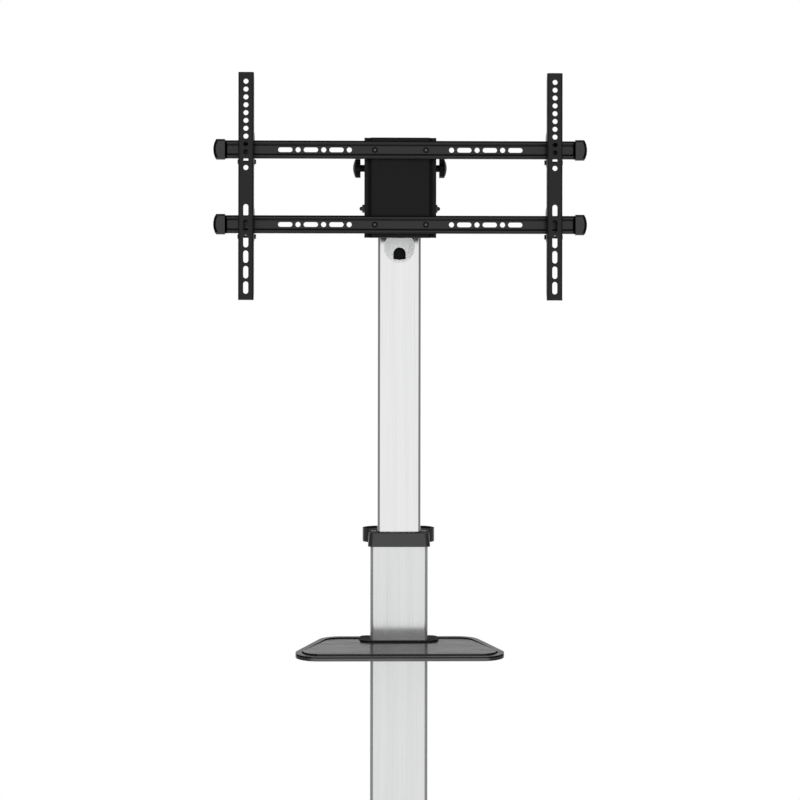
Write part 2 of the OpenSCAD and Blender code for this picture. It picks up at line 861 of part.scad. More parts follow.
// A tapered shroud where the column meets its foot plate
module foot_cover() {
    rim = 1;
    color("black")
    difference() {
        hull() {
            tube_z(column_z, rim) rounded_rect(cover_foot_w, cover_foot_d, cover_corner_r, $fn = 32);
            tube_z(column_z + cover_h - rim, rim)
                rounded_rect(cover_top_w, cover_top_d, cover_corner_r, $fn = 32);
        }
        tube_z(column_z - cut, cover_h + 2 * cut)
            rounded_rect(lower_w + 2 * gap, lower_d + 2 * gap, lower_corner_r + gap);
        tube_z(column_z - cut, cover_h - cover_wall + cut)
            rounded_rect(
                cover_top_w - 2 * cover_wall, cover_top_d - 2 * cover_wall,
                cover_corner_r - cover_wall);
    }
}

// Head: bracket on the column, tilting frame, turning plate

module bracket_bolt_places() {
    for (side = [-1, 1], end = [-1, 1])
        translate([side * bracket_bolt_x, 0, mount_z + end * bracket_bolt_z]) children();
}

// The curved slot that a tilt stud runs in, centred on the pivot
module tilt_slot() {
    back = tilt_back + slot_spare;
    front = tilt_forward + slot_spare;
    reach = 2 * pivot_arm;
    intersection() {
        difference() {
            circle(r = pivot_arm + slot_half);
            circle(r = pivot_arm - slot_half);
        }
        polygon([
            [0, 0], reach * [sin(back), cos(back)], reach * [-sin(front), cos(front)]
        ]);
    }
    for (a = [-back, front]) translate(pivot_arm * [-sin(a), cos(a)]) circle(r = slot_half);
}

module column_bracket() {
    color("black")
    difference() {
        intersection() {
            translate([0, -upper_front, mount_z - bracket_low]) rotate([0, 0, 180])
                linear_extrude(bracket_h)
                    channel_section(bracket_w, bracket_d, bracket_t, bracket_corner_r);
            translate([0, -upper_front - bracket_d, mount_z - bracket_low]) along_x(bracket_w + 2 * cut)
                rounded_outline(
                    [[0, 0], [bracket_d, 0], [bracket_d, bracket_h], [0, bracket_h]],
                    [bracket_corner_r, 0, 0, bracket_corner_r]);
        }
        translate([0, pivot_y, pivot_z]) {
            rod_x(pivot_r + snug, -bracket_w, bracket_w);
            along_x(2 * bracket_w) tilt_slot();
        }
        bracket_bolt_places() rod_y(bolt_r + gap, -upper_front - bracket_t - cut, -upper_front + cut);
        translate([0, 0, mount_z])
            rod_y(spindle_flange_r, -upper_front - bracket_t - cut, -upper_front + cut);
    }
}

module bracket_bolts() {
    nut_h = 5;
    color("gray")
    bracket_bolt_places() {
        difference() {
            rod_y(bolt_head_r, -upper_front - bracket_t - bolt_head_h, -upper_front - bracket_t);
            translate([0, -upper_front - bracket_t - bolt_head_h - cut, 0]) rotate([-90, 0, 0])
                cylinder(r = bolt_r, h = bolt_head_h - cut, $fn = 6);
        }
        rod_y(bolt_r, -upper_front - bracket_t - cut, -upper_front + upper_wall + nut_h);
        translate([0, -upper_front + upper_wall, 0]) rotate([-90, 0, 0])
            cylinder(r = bolt_head_r, h = nut_h, $fn = 6);
    }
}

module pivot_bolts() {
    inner = bracket_w / 2 - bracket_t;
    outer = tilt_w / 2 + tilt_gap;
    nut_x = outer + washer_t + pivot_nut_t;
    tip_x = nut_x + pivot_tip;
    color("gray")
    for (side = [-1, 1]) translate([0, pivot_y, pivot_z]) mirror([side < 0 ? 1 : 0, 0, 0]) {
        rod_x(pivot_r, inner - tilt_nut_t, outer);
        rod_x(pivot_nut_r, inner - tilt_nut_t, inner);
        rod_x(pivot_washer_r, outer, outer + washer_t);
        translate([outer + washer_t, 0, 0]) rotate([0, 90, 0])
            cylinder(r = pivot_nut_r, h = pivot_nut_t, $fn = 6);
        rod_x(pivot_tip_r, nut_x, tip_x - pivot_tip_r);
        translate([tip_x - pivot_tip_r, 0, 0]) sphere(r = pivot_tip_r);
    }
}

module tilt_frame() {
    height = tilt_low + bracket_high;
    color("black")
    difference() {
        union() {
            intersection() {
                translate([0, tilt_front_y, mount_z - tilt_low]) linear_extrude(height)
                    channel_section(tilt_w, tilt_d, tilt_t, tilt_t + tilt_t / 2);
                translate([0, tilt_front_y, mount_z - tilt_low]) along_x(tilt_w + 2 * cut)
                    rounded_outline(
                        [[0, 0], [tilt_d, 0], [tilt_d, height], [0, height]],
                        [0, tilt_corner_r, tilt_corner_r, 0]);
            }
            translate([0, 0, mount_z]) rod_y(boss_r, disc_y + disc_t, tilt_front_y + cut);
        }
        translate([0, 0, mount_z]) rod_y(spindle_r + running, disc_y, tilt_front_y + tilt_t + cut);
        translate([0, pivot_y, pivot_z]) rod_x(pivot_r + running, -tilt_w, tilt_w);
        translate([0, pivot_y, knob_z]) rod_x(stud_r + running, -tilt_w, tilt_w);
    }
}

module friction_disc() {
    color("white")
    translate([0, 0, mount_z])
    difference() {
        rod_y(disc_r, disc_y, disc_y + disc_t);
        rod_y(spindle_r + running, disc_y - cut, disc_y + disc_t + cut);
    }
}

module tilt_nuts() {
    color("gray")
    for (side = [-1, 1]) translate([0, pivot_y, knob_z]) mirror([side < 0 ? 1 : 0, 0, 0])
        difference() {
            translate([bracket_w / 2 - bracket_t - tilt_gap - tilt_nut_t / 2, 0, 0])
                along_x(tilt_nut_t) rounded_rect(tilt_nut_w, tilt_nut_w, tilt_t / 2);
            rod_x(stud_r + running, 0, bracket_w / 2);
        }
}

// A fluted knob with a domed face on a threaded stud
module tilt_knob(side) {
    inner = tilt_w / 2 + tilt_gap + knob_neck;
    tip = bracket_w / 2 - bracket_t - tilt_gap - tilt_nut_t - 2 * stud_spare;
    color("black")
    translate([side * tip, pivot_y, knob_z]) rotate([0, side * 90, 0])
        fluted_knob(
            knob_r, knob_t, neck_r, knob_neck, stud_r, inner - tip, flute_r, flute_count);
}

module tilt_knob_left() { tilt_knob(-1); }
module tilt_knob_right() { tilt_knob(1); }

module rail_screw_places() {
    for (side = [-1, 1], end = [-1, 1])
        translate([side * rail_screw_x, 0, mount_z + end * rail_z]) children();
}

// A pressed plate with a raised panel, set-back side strips and folded edges
module head_plate() {
    color("black")
    difference() {
        union() {
            translate([0, panel_y, mount_z - plate_h / 2]) linear_extrude(plate_h) {
                translate([-panel_w / 2, 0]) square([panel_w, plate_t]);
                for (side = [0, 1]) mirror([side, 0]) {
                    translate([panel_w / 2 - plate_t, 0]) square([plate_t, panel_step + plate_t]);
                    translate([panel_w / 2 - plate_t, panel_step]) square([strip_w + plate_t, plate_t]);
                    translate([plate_w / 2 - plate_t, panel_step])
                        square([plate_t, plate_depth - panel_step]);
                }
            }
            for (end = [0, 1]) translate([0, 0, mount_z]) mirror([0, 0, end])
                translate([-panel_w / 2, panel_y, plate_h / 2 - plate_t])
                    cube([panel_w, plate_depth, plate_t]);
        }
        rail_screw_places() rod_y(rail_screw_r + snug, panel_y - cut, panel_y + plate_t + cut);
    }
}

module spindle() {
    color("gray")
    translate([0, 0, mount_z]) {
        rod_y(spindle_flange_r, panel_y + plate_t, panel_y + plate_t + spindle_flange_t);
        rod_y(spindle_r, panel_y + plate_t, nut_y + washer_t + nut_t + spindle_spare);
    }
}

module spindle_nut() {
    color("gray")
    translate([0, 0, mount_z])
    difference() {
        union() {
            rod_y(nut_r + washer_rim, nut_y, nut_y + washer_t);
            translate([0, nut_y + washer_t, 0]) rotate([-90, 0, 0]) cylinder(r = nut_r, h = nut_t, $fn = 6);
        }
        rod_y(spindle_r + snug, nut_y - cut, nut_y + washer_t + nut_t + cut);
    }
}

// Rails, a rolled section with folded lips and a raised band

module rail_bead_outline() {
    top = rail_h / 2;
    crest_z = top - rail_bead_d;
    low = top - rail_bead;
    polygon([
        [rail_d, top], [rail_bead_d, top], [0, crest_z], [0, crest_z - rail_crest],
        [crest_z - rail_crest - low, low], [rail_d, low]]);
}

module rail_section() {
    intersection() {
        translate([rail_d / 2, 0]) rounded_rect(rail_d, rail_h, rail_corner_r);
        for (end = [0, 1]) mirror([0, end]) {
            translate([rail_bead_d, rail_h / 2 - rail_t]) square([rail_d - rail_bead_d, rail_t]);
            difference() {
                rail_bead_outline();
                translate([rail_t, 0]) rail_bead_outline();
            }
            translate([rail_d - rail_t, rail_band / 2 - rail_t])
                square([rail_t, (rail_h - rail_band) / 2 + rail_t]);
            translate([rail_d - rail_t - rail_step, rail_band / 2 - rail_t])
                square([rail_t + rail_step, rail_t]);
            translate([rail_d - rail_t - rail_step, 0]) square([rail_t, rail_band / 2]);
        }
    }
}

module rail(z) {
    holes_each_side = 3;
    slot_half_w = 4.6;
    color("black")
    translate([0, 0, z])
    difference() {
        translate([0, rail_front_y, 0]) along_x(rail_len) rail_section();
        for (side = [-1, 1], i = [0 : holes_each_side - 1]) {
            x = side * (2 + i) * rail_hole_pitch;
            translate([x, 0, 0]) rod_y(rail_hole_r, rail_front_y + rail_t, panel_y + cut);
            translate([x + side * rail_hole_pitch / 2, rail_front_y + rail_t, 0])
                along_y(rail_d) slot_outline(rail_slot_len, slot_half_w);
        }
        for (side = [-1, 1]) translate([side * rail_screw_x, 0, 0])
            rod_y(rail_screw_r + snug, rail_front_y + rail_t, panel_y + cut);
    }
}

module upper_rail() { rail(mount_z + rail_z); }
module lower_rail() { rail(mount_z - rail_z); }

module rail_end_caps() {
    length = cap_sleeve + cap_end;
    color("black")
    for (side = [0, 1], end = [-1, 1]) mirror([side, 0, 0])
        translate([rail_len / 2 + cap_end, rail_front_y + rail_d / 2, mount_z + end * rail_z])
            difference() {
                intersection() {
                    translate([-length / 2, 0, 0]) along_x(length) rounded_rect(cap_d, cap_h, cap_corner_r);
                    translate([-cap_sphere_r, 0, 0]) sphere(r = cap_sphere_r);
                }
                translate([-cap_end - length / 2, 0, 0]) along_x(length)
                    rounded_rect(rail_d + 2 * snug, rail_h + 2 * snug, rail_corner_r + snug);
            }
}

module rail_screws() {
    seat_y = rail_front_y + rail_d - rail_t - rail_step;
    color("gray")
    rail_screw_places() {
        difference() {
            rod_y(rail_screw_head_r, seat_y - rail_screw_head_h, seat_y);
            translate([0, seat_y - rail_screw_head_h - cut, 0]) rotate([-90, 0, 0])
                cylinder(r = rail_screw_r, h = rail_screw_head_h, $fn = 6);
        }
        rod_y(rail_screw_r, seat_y - rail_screw_head_h / 4, panel_y + plate_t + rail_nut_h);
        translate([0, panel_y + plate_t, 0]) rotate([-90, 0, 0])
            cylinder(r = rail_screw_head_r, h = rail_nut_h, $fn = 6);
    }
}

// The side view of an arm's flanges, with ears that hook behind both rails
module arm_outline() {
    step = rail_h / 2 + gap;
    polygon([
        [0, -arm_top_z], [arm_d / 2, -arm_top_z], [arm_d, -arm_top_z + arm_end_taper],
        [arm_d, arm_top_z - arm_end_taper], [arm_d / 2, arm_top_z], [0, arm_top_z]
    ]);
    for (end = [-1, 1]) translate([0, end * rail_z]) {
        polygon([
            [0, step], [ear_depth - ear_hook, step], [ear_depth - ear_hook, step - ear_lip],
            [ear_depth, step - ear_lip], [ear_depth, step + ear_h - ear_lip],
            [ear_depth - ear_lip, step + ear_h], [0, step + 2 * ear_h]
        ]);
        polygon([
            [0, -step], [0, -step - 2 * ear_h], [ear_depth - ear_lip, -step - ear_h],
            [ear_depth, -step - ear_h + ear_lip], [ear_depth, -step]
        ]);
    }
}

module arm_bolt_places() {
    y = arm_front_y + ear_depth - ear_h / 2;
    drop = (rail_h + ear_h) / 2 + gap;
    for (end = [-1, 1]) translate([0, y, mount_z + end * rail_z - drop]) children();
}

module arm(side) {
    color([0.16, 0.16, 0.16])
    translate([side * vesa_w / 2, 0, 0])
    difference() {
        intersection() {
            translate([0, arm_front_y, mount_z - arm_top_z]) linear_extrude(2 * arm_top_z)
                channel_section(arm_w, ear_depth + cut, arm_t, arm_bend_r);
            translate([0, arm_front_y, mount_z]) along_x(arm_w + 2 * cut) arm_outline();
        }
        for (i = [0 : arm_hole_count - 1])
            translate([0, 0, mount_z + arm_hole_z - i * arm_hole_pitch])
                rod_y(arm_hole_r, arm_front_y - cut, arm_front_y + arm_t + cut);
        for (i = [0 : arm_slot_count - 1])
            translate([0, arm_front_y - cut, mount_z + arm_slot_z + i * arm_slot_pitch])
                along_y(arm_t + 2 * cut) rotate([0, 0, 90]) slot_outline(arm_slot_len, arm_hole_r);
        arm_bolt_places() rod_x(arm_bolt_r + snug, -arm_w, arm_w);
    }
}

module arm_left() { arm(-1); }
module arm_right() { arm(1); }

module arm_bolts(side) {
    color("gray")
    translate([side * vesa_w / 2, 0, 0])
    arm_bolt_places() {
        rod_x(arm_bolt_r, -arm_w / 2 - arm_bolt_head_h, arm_w / 2 + arm_bolt_head_h);
        rod_x(arm_bolt_head_r, -arm_w / 2 - arm_bolt_head_h, -arm_w / 2);
        translate([arm_w / 2, 0, 0]) rotate([0, 90, 0])
            cylinder(r = arm_bolt_head_r, h = arm_bolt_head_h, $fn = 6);
    }
}

module arm_bolts_left() { arm_bolts(-1); }
module arm_bolts_right() { arm_bolts(1); }

// Shelf and its clamp

module shelf_outline(inset) {
    rounded_outline(
        [
            [-shelf_front_w / 2, shelf_front_y], [shelf_front_w / 2, shelf_front_y],
            [shelf_back_w / 2, shelf_back_y], [-shelf_back_w / 2, shelf_back_y]
        ],
        [shelf_front_r, shelf_front_r, shelf_back_r, shelf_back_r], inset);
}

module clamp_outline(grow) {
    front = -(lower_front + clamp_front + grow);
    back = lower_front + clamp_back + grow;
    half = clamp_w / 2 + grow;
    front_r = clamp_front_r + grow;
    back_r = clamp_back_r + grow;
    rounded_outline(
        [[-half, front], [half, front], [half, back], [-half, back]], [front_r, front_r, back_r, back_r]);
}

// The tray's panel, which stands proud of the rim in front and lies below it at the back
module shelf_panel() {
    inset = shelf_rim + shelf_groove;
    low_z = shelf_top_z - shelf_panel_drop;
    intersection() {
        tube_z(low_z - shelf_groove_drop - cut, shelf_h)
            difference() {
                shelf_outline(inset);
                clamp_outline(gap + shelf_moat);
            }
        translate([0, shelf_back_y - inset, low_z]) rotate([-shelf_tilt, 0, 0])
            translate([-shelf_front_w, -2 * shelf_d, -shelf_d]) cube([2 * shelf_front_w, 3 * shelf_d, shelf_d]);
    }
}

// A moulded tray: rim, sloping panel, grooves round both, and ribs and bosses beneath
module shelf() {
    z = shelf_top_z - shelf_h;
    floor_z = shelf_top_z - shelf_panel_drop - shelf_groove_drop;
    under_h = floor_z - z - shelf_wall;
    rib_x_shares = [-0.34, -0.12, 0.12, 0.34];
    rib_y_shares = [0.2, 0.5, 0.76];
    color([0.2, 0.2, 0.2])
    difference() {
        union() {
            difference() {
                tube_z(z, shelf_h) shelf_outline(0);
                tube_z(floor_z, shelf_h) shelf_outline(shelf_rim);
                tube_z(shelf_top_z - shelf_edge_t - shelf_edge_groove, shelf_edge_groove)
                    difference() {
                        square(2 * shelf_front_w, center = true);
                        shelf_outline(shelf_edge_groove_d);
                    }
            }
            shelf_panel();
        }
        difference() {
            tube_z(z - cut, under_h + cut) shelf_outline(shelf_wall);
            for (share = rib_x_shares)
                translate([share * shelf_front_w - shelf_wall / 4, shelf_front_y, z])
                    cube([shelf_wall / 2, shelf_d, shelf_h]);
            for (share = rib_y_shares)
                translate([-shelf_front_w / 2, shelf_front_y + share * shelf_d, z])
                    cube([shelf_front_w, shelf_wall / 2, shelf_h]);
            shelf_screw_places() translate([0, 0, z]) cylinder(r = shelf_screw_r + shelf_wall, h = shelf_h);
            tube_z(z, shelf_h) clamp_outline(shelf_wall);
        }
        tube_z(z - cut, shelf_h + 2 * cut) clamp_outline(gap);
        shelf_screw_places() translate([0, 0, z - cut])
            cylinder(r = shelf_screw_r + snug, h = shelf_screw_bite + 2 * cut);
    }
}

module shelf_screw_places() {
    for (side = [-1, 1], share = shelf_screw_shares)
        translate([side * shelf_screw_x, shelf_front_y + share * shelf_run, 0]) children();
}

module clamp_ring(h) {
    tube_z(clamp_z, h)
        difference() {
            clamp_outline(0);
            rounded_rect(lower_w + 2 * gap, lower_d + 2 * gap, lower_corner_r + gap);
        }
}

// The front of the clamp with the plate and gussets that carry the tray
module shelf_bracket() {
    z = shelf_top_z - shelf_h - support_t;
    front = shelf_front_y + support_share * shelf_run;
    back = -(lower_front + clamp_front - cut);
    color("black")
    difference() {
        union() {
            intersection() {
                clamp_ring(clamp_h);
                translate([-clamp_w, -clamp_w, clamp_z - cut])
                    cube([2 * clamp_w, clamp_w + clamp_split_y, clamp_h + 2 * cut]);
            }
            tube_z(z, support_t)
                rounded_outline(
                    [
                        [-support_w / 2, front], [support_w / 2, front],
                        [clamp_w / 2, back], [-clamp_w / 2, back]
                    ],
                    [support_corner_r, support_corner_r, 0, 0]);
            for (side = [-1, 1]) translate([side * (lower_w / 2 - gusset_t), 0, 0]) along_x(gusset_t)
                polygon([
                    [back, clamp_z], [back, z + support_t / 2],
                    [front + support_corner_r, z + support_t / 2], [front + support_corner_r, z - support_t]
                ]);
        }
        shelf_screw_places() translate([0, 0, z - cut])
            cylinder(r = shelf_screw_r + snug, h = support_t + 2 * cut);
        clamp_screw_places() rod_y(clamp_screw_r + snug, -clamp_screw_bite, lower_front + clamp_back + cut);
    }
}

// The back of the clamp, drawn against the column by two screws
module shelf_clamp() {
    start = clamp_split_y + clamp_slit;
    color("black")
    difference() {
        intersection() {
            clamp_ring(clamp_h - clamp_back_drop);
            translate([-clamp_w, start, clamp_z - cut]) cube([2 * clamp_w, clamp_w, clamp_h + 2 * cut]);
        }
        clamp_screw_places() rod_y(clamp_screw_r + snug, 0, lower_front + clamp_back + cut);
    }
}

module clamp_screw_places() {
    for (side = [-1, 1]) translate([side * clamp_screw_x, 0, clamp_z + clamp_h / 2]) children();
}

module shelf_clamp_screws() {
    back = lower_front + clamp_back;
    color("gray")
    clamp_screw_places() {
        rod_y(clamp_screw_r, -clamp_screw_bite + cut, back);
        difference() {
            rod_y(bolt_head_r, back, back + bolt_head_h);
            translate([0, back + cut, 0]) rotate([-90, 0, 0])
                cylinder(r = clamp_screw_r, h = bolt_head_h, $fn = 6);
        }
    }
}

module shelf_screws() {
    z = shelf_top_z - shelf_h - support_t;
    head_h = 2.4;
    color("gray")
    shelf_screw_places() {
        translate([0, 0, z]) cylinder(r = shelf_screw_r, h = support_t + shelf_screw_bite);
        translate([0, 0, z - head_h]) cylinder(r = 2 * shelf_screw_r, h = head_h);
    }
}

// Casters: each swivels under a leg's end, trailing outwards, and has a brake pedal

module caster_place(side, end) {
    translate([side * leg_gap / 2, end * caster_gap / 2, 0]) mirror([0, end < 0 ? 1 : 0, 0]) children();
}

// Fixed top plates with their ball races, kingpins and threaded stems
module caster_tops() {
    color("silver")
    for (side = [-1, 1], end = [-1, 1]) caster_place(side, end) {
        translate([0, 0, caster_h - top_plate_t]) cylinder(r = top_plate_r, h = top_plate_t);
        translate([0, 0, caster_h - top_plate_t - race_h]) cylinder(r = race_r, h = race_h);
        translate([0, 0, caster_h]) cylinder(r = stem_r, h = stem_h);
        translate([0, 0, king_z]) cylinder(r = king_r, h = caster_h - top_plate_t - king_z);
        translate([0, 0, king_z]) cylinder(r = king_head_r, h = king_head_h);
    }
}

module fork() {
    color("black")
    difference() {
        union() {
            for (side = [-1, 1]) translate([side * (fork_half_w + fork_t / 2), 0, 0]) along_x(fork_t)
                rounded_outline(
                    [
                        [-fork_back, fork_top_z - fork_shoulder], [trail - fork_foot, wheel_r - fork_foot],
                        [trail + fork_foot, wheel_r - fork_foot], [brake_y + fork_nose, fork_top_z],
                        [-fork_back, fork_top_z]
                    ],
                    [fork_foot, fork_foot_r, fork_foot_r, fork_t, fork_t / 2]);
            translate([-fork_half_w - fork_t, -fork_back, fork_top_z - fork_plate_t])
                cube([2 * (fork_half_w + fork_t), fork_back + fork_bridge, fork_plate_t]);
        }
        translate([0, 0, fork_top_z - fork_plate_t - cut])
            cylinder(r = king_r + running, h = fork_plate_t + 2 * cut);
        translate([0, trail, wheel_r]) rod_x(axle_r + snug, -wheel_w, wheel_w);
        translate([0, brake_y, brake_z]) rod_x(brake_pin_r + running, -wheel_w, wheel_w);
    }
}

module axle() {
    outer = fork_half_w + fork_t;
    color("silver")
    translate([0, trail, wheel_r]) {
        rod_x(axle_r, -outer - axle_head_t, outer + axle_head_t);
        rod_x(axle_head_r, -outer - axle_head_t, -outer);
        translate([outer, 0, 0]) rotate([0, 90, 0]) cylinder(r = axle_head_r, h = axle_head_t, $fn = 6);
    }
}

// A moulded wheel with a soft rounded tread, a thin web and radial ribs
module wheel() {
    rib_count = 6;
    web_half = 3;
    rim_r = wheel_r - tread_t;
    hub_r = axle_r + hub_wall;
    color("dimgray")
    translate([0, trail, wheel_r]) rotate([0, 90, 0])
    difference() {
        union() {
            rotate_extrude() {
                rounded_outline(
                    [
                        [rim_r - tread_t / 2, -wheel_w / 2], [wheel_r, -wheel_w / 2],
                        [wheel_r, wheel_w / 2], [rim_r - tread_t / 2, wheel_w / 2]
                    ],
                    [0, tread_r, tread_r, 0]);
                translate([axle_r + running, -web_half]) square([rim_r - axle_r, 2 * web_half]);
                translate([axle_r + running, -fork_half_w + slide_gap])
                    square([hub_r - axle_r, 2 * (fork_half_w - slide_gap)]);
            }
            for (i = [0 : rib_count - 1]) rotate([0, 0, i * 360 / rib_count])
                translate([hub_r - rib_bite, -web_half / 2, -wheel_w / 2 + web_half])
                    cube([rim_r - hub_r, web_half, wheel_w - 2 * web_half]);
        }
    }
}

// A pedal hinged between the fork's sides, with a ribbed pad past the fork's nose
module brake() {
    pad_start = fork_nose + pad_gap;
    tip = [brake_reach, -brake_reach / 3];
    color("dimgray")
    translate([0, brake_y, brake_z]) {
        rod_x(brake_pin_r, -fork_half_w - fork_t, fork_half_w + fork_t);
        rod_x(brake_barrel_r, -fork_half_w + slide_gap, fork_half_w - slide_gap);
        along_x(2 * (fork_half_w - slide_gap)) brake_outline(tip);
        along_x(pad_w) intersection() {
            brake_outline(tip);
            translate([pad_start, -brake_reach]) square([brake_reach, 2 * brake_reach]);
        }
    }
}

module brake_outline(tip) {
    rounded_outline(
        [[-brake_t / 2, -brake_t / 2], tip, tip + brake_t * brake_nose_shares, [0, brake_t]],
        [brake_t / 4, brake_t / 2, brake_t / 2, brake_t / 4]);
}

module fork_front_left() { caster_place(-1, -1) fork(); }
module fork_front_right() { caster_place(1, -1) fork(); }
module fork_rear_left() { caster_place(-1, 1) fork(); }
module fork_rear_right() { caster_place(1, 1) fork(); }
module axle_front_left() { caster_place(-1, -1) axle(); }
module axle_front_right() { caster_place(1, -1) axle(); }
module axle_rear_left() { caster_place(-1, 1) axle(); }
module axle_rear_right() { caster_place(1, 1) axle(); }
module wheel_front_left() { caster_place(-1, -1) wheel(); }
module wheel_front_right() { caster_place(1, -1) wheel(); }
module wheel_rear_left() { caster_place(-1, 1) wheel(); }
module wheel_rear_right() { caster_place(1, 1) wheel(); }
module brake_front_left() { caster_place(-1, -1) brake(); }
module brake_front_right() { caster_place(1, -1) brake(); }
module brake_rear_left() { caster_place(-1, 1) brake(); }
module brake_rear_right() { caster_place(1, 1) brake(); }

base_beam();
leg_left();
leg_right();
leg_end_caps();
foot_plate();
foot_bolts();
foot_cover();
lower_column();
top_guide();
collar();
collar_screws();
lock_nut();
lock_knob();
rear_grommet();
upper_column();
bottom_guide();
column_cap();
cable_grommet();
column_bracket();
bracket_bolts();
pivot_bolts();
tilt_frame();
friction_disc();
tilt_nuts();
tilt_knob_left();
tilt_knob_right();
head_plate();
spindle();
spindle_nut();
upper_rail();
lower_rail();
rail_end_caps();
rail_screws();
arm_left();
arm_right();
arm_bolts_left();
arm_bolts_right();
shelf();
shelf_bracket();
shelf_clamp();
shelf_clamp_screws();
shelf_screws();
caster_tops();
fork_front_left();
fork_front_right();
fork_rear_left();
fork_rear_right();
axle_front_left();
axle_front_right();
axle_rear_left();
axle_rear_right();
wheel_front_left();
wheel_front_right();
wheel_rear_left();
wheel_rear_right();
brake_front_left();
brake_front_right();
brake_rear_left();
brake_rear_right();
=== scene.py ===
"""Dresses a rolling television stand and sets up its studio.

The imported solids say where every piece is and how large.  The classes here copy
those solids, round their edges, add welds, creases and treads, and give each piece
its finish.  Lengths are in metres, the front is -Y and up is +Z.
"""

import json
import logging
import math
from collections.abc import Callable, Iterable, Iterator, Sequence
from contextlib import contextmanager
from dataclasses import dataclass, field
from enum import Enum

import bmesh
import bpy
from mathutils import Matrix, Vector

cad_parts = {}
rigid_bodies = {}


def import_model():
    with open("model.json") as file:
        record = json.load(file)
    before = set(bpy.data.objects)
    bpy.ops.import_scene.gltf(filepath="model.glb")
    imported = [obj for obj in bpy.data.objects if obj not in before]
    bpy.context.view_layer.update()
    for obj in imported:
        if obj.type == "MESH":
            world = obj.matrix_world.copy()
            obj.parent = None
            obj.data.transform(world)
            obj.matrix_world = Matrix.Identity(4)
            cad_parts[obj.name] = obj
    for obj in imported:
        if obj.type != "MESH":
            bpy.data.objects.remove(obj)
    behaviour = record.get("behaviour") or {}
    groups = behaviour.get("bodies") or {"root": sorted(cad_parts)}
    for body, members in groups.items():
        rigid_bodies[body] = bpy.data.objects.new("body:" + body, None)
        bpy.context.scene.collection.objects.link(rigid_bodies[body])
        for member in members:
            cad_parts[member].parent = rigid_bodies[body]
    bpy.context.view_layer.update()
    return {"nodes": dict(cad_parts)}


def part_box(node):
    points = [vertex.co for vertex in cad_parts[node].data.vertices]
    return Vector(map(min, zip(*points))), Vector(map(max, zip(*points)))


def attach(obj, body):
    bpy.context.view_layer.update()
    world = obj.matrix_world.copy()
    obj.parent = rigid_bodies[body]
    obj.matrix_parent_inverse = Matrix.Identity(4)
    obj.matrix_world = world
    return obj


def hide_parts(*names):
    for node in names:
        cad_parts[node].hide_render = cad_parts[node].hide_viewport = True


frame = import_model()

LOG = logging.getLogger("stand")
MM = 0.001
MERGE = 0.01 * MM
NEAR = 0.1 * MM
FACING = 0.9
UPRIGHT = 0.5
FLAT_ANGLE = 1.0
SMOOTH_ANGLE = 38.0
SHARP_ANGLE = 40.0
Colour = tuple[float, float, float]
WHITE: Colour = (1, 1, 1)


class Slot(Enum):
    """The material slots that the stand's record names."""

    STEEL = "black_steel"
    PLASTIC = "black_plastic"
    ALUMINIUM = "brushed_aluminium"
    FASTENER = "black_fastener"
    ZINC = "zinc_steel"
    GUIDE = "guide_plastic"
    SILVER = "silver_plastic"
    WHEEL = "caster_wheel"


class Place(Enum):
    """A place that is part of a node's name."""

    @property
    def word(self) -> str:
        """The place as the nodes spell it."""
        return self.name.lower()


class Side(Place):
    """Left and right as the viewer in front of the stand sees them."""

    LEFT = -1
    RIGHT = 1


class End(Place):
    """The front and the rear end of a leg."""

    FRONT = -1
    REAR = 1


# Finishes


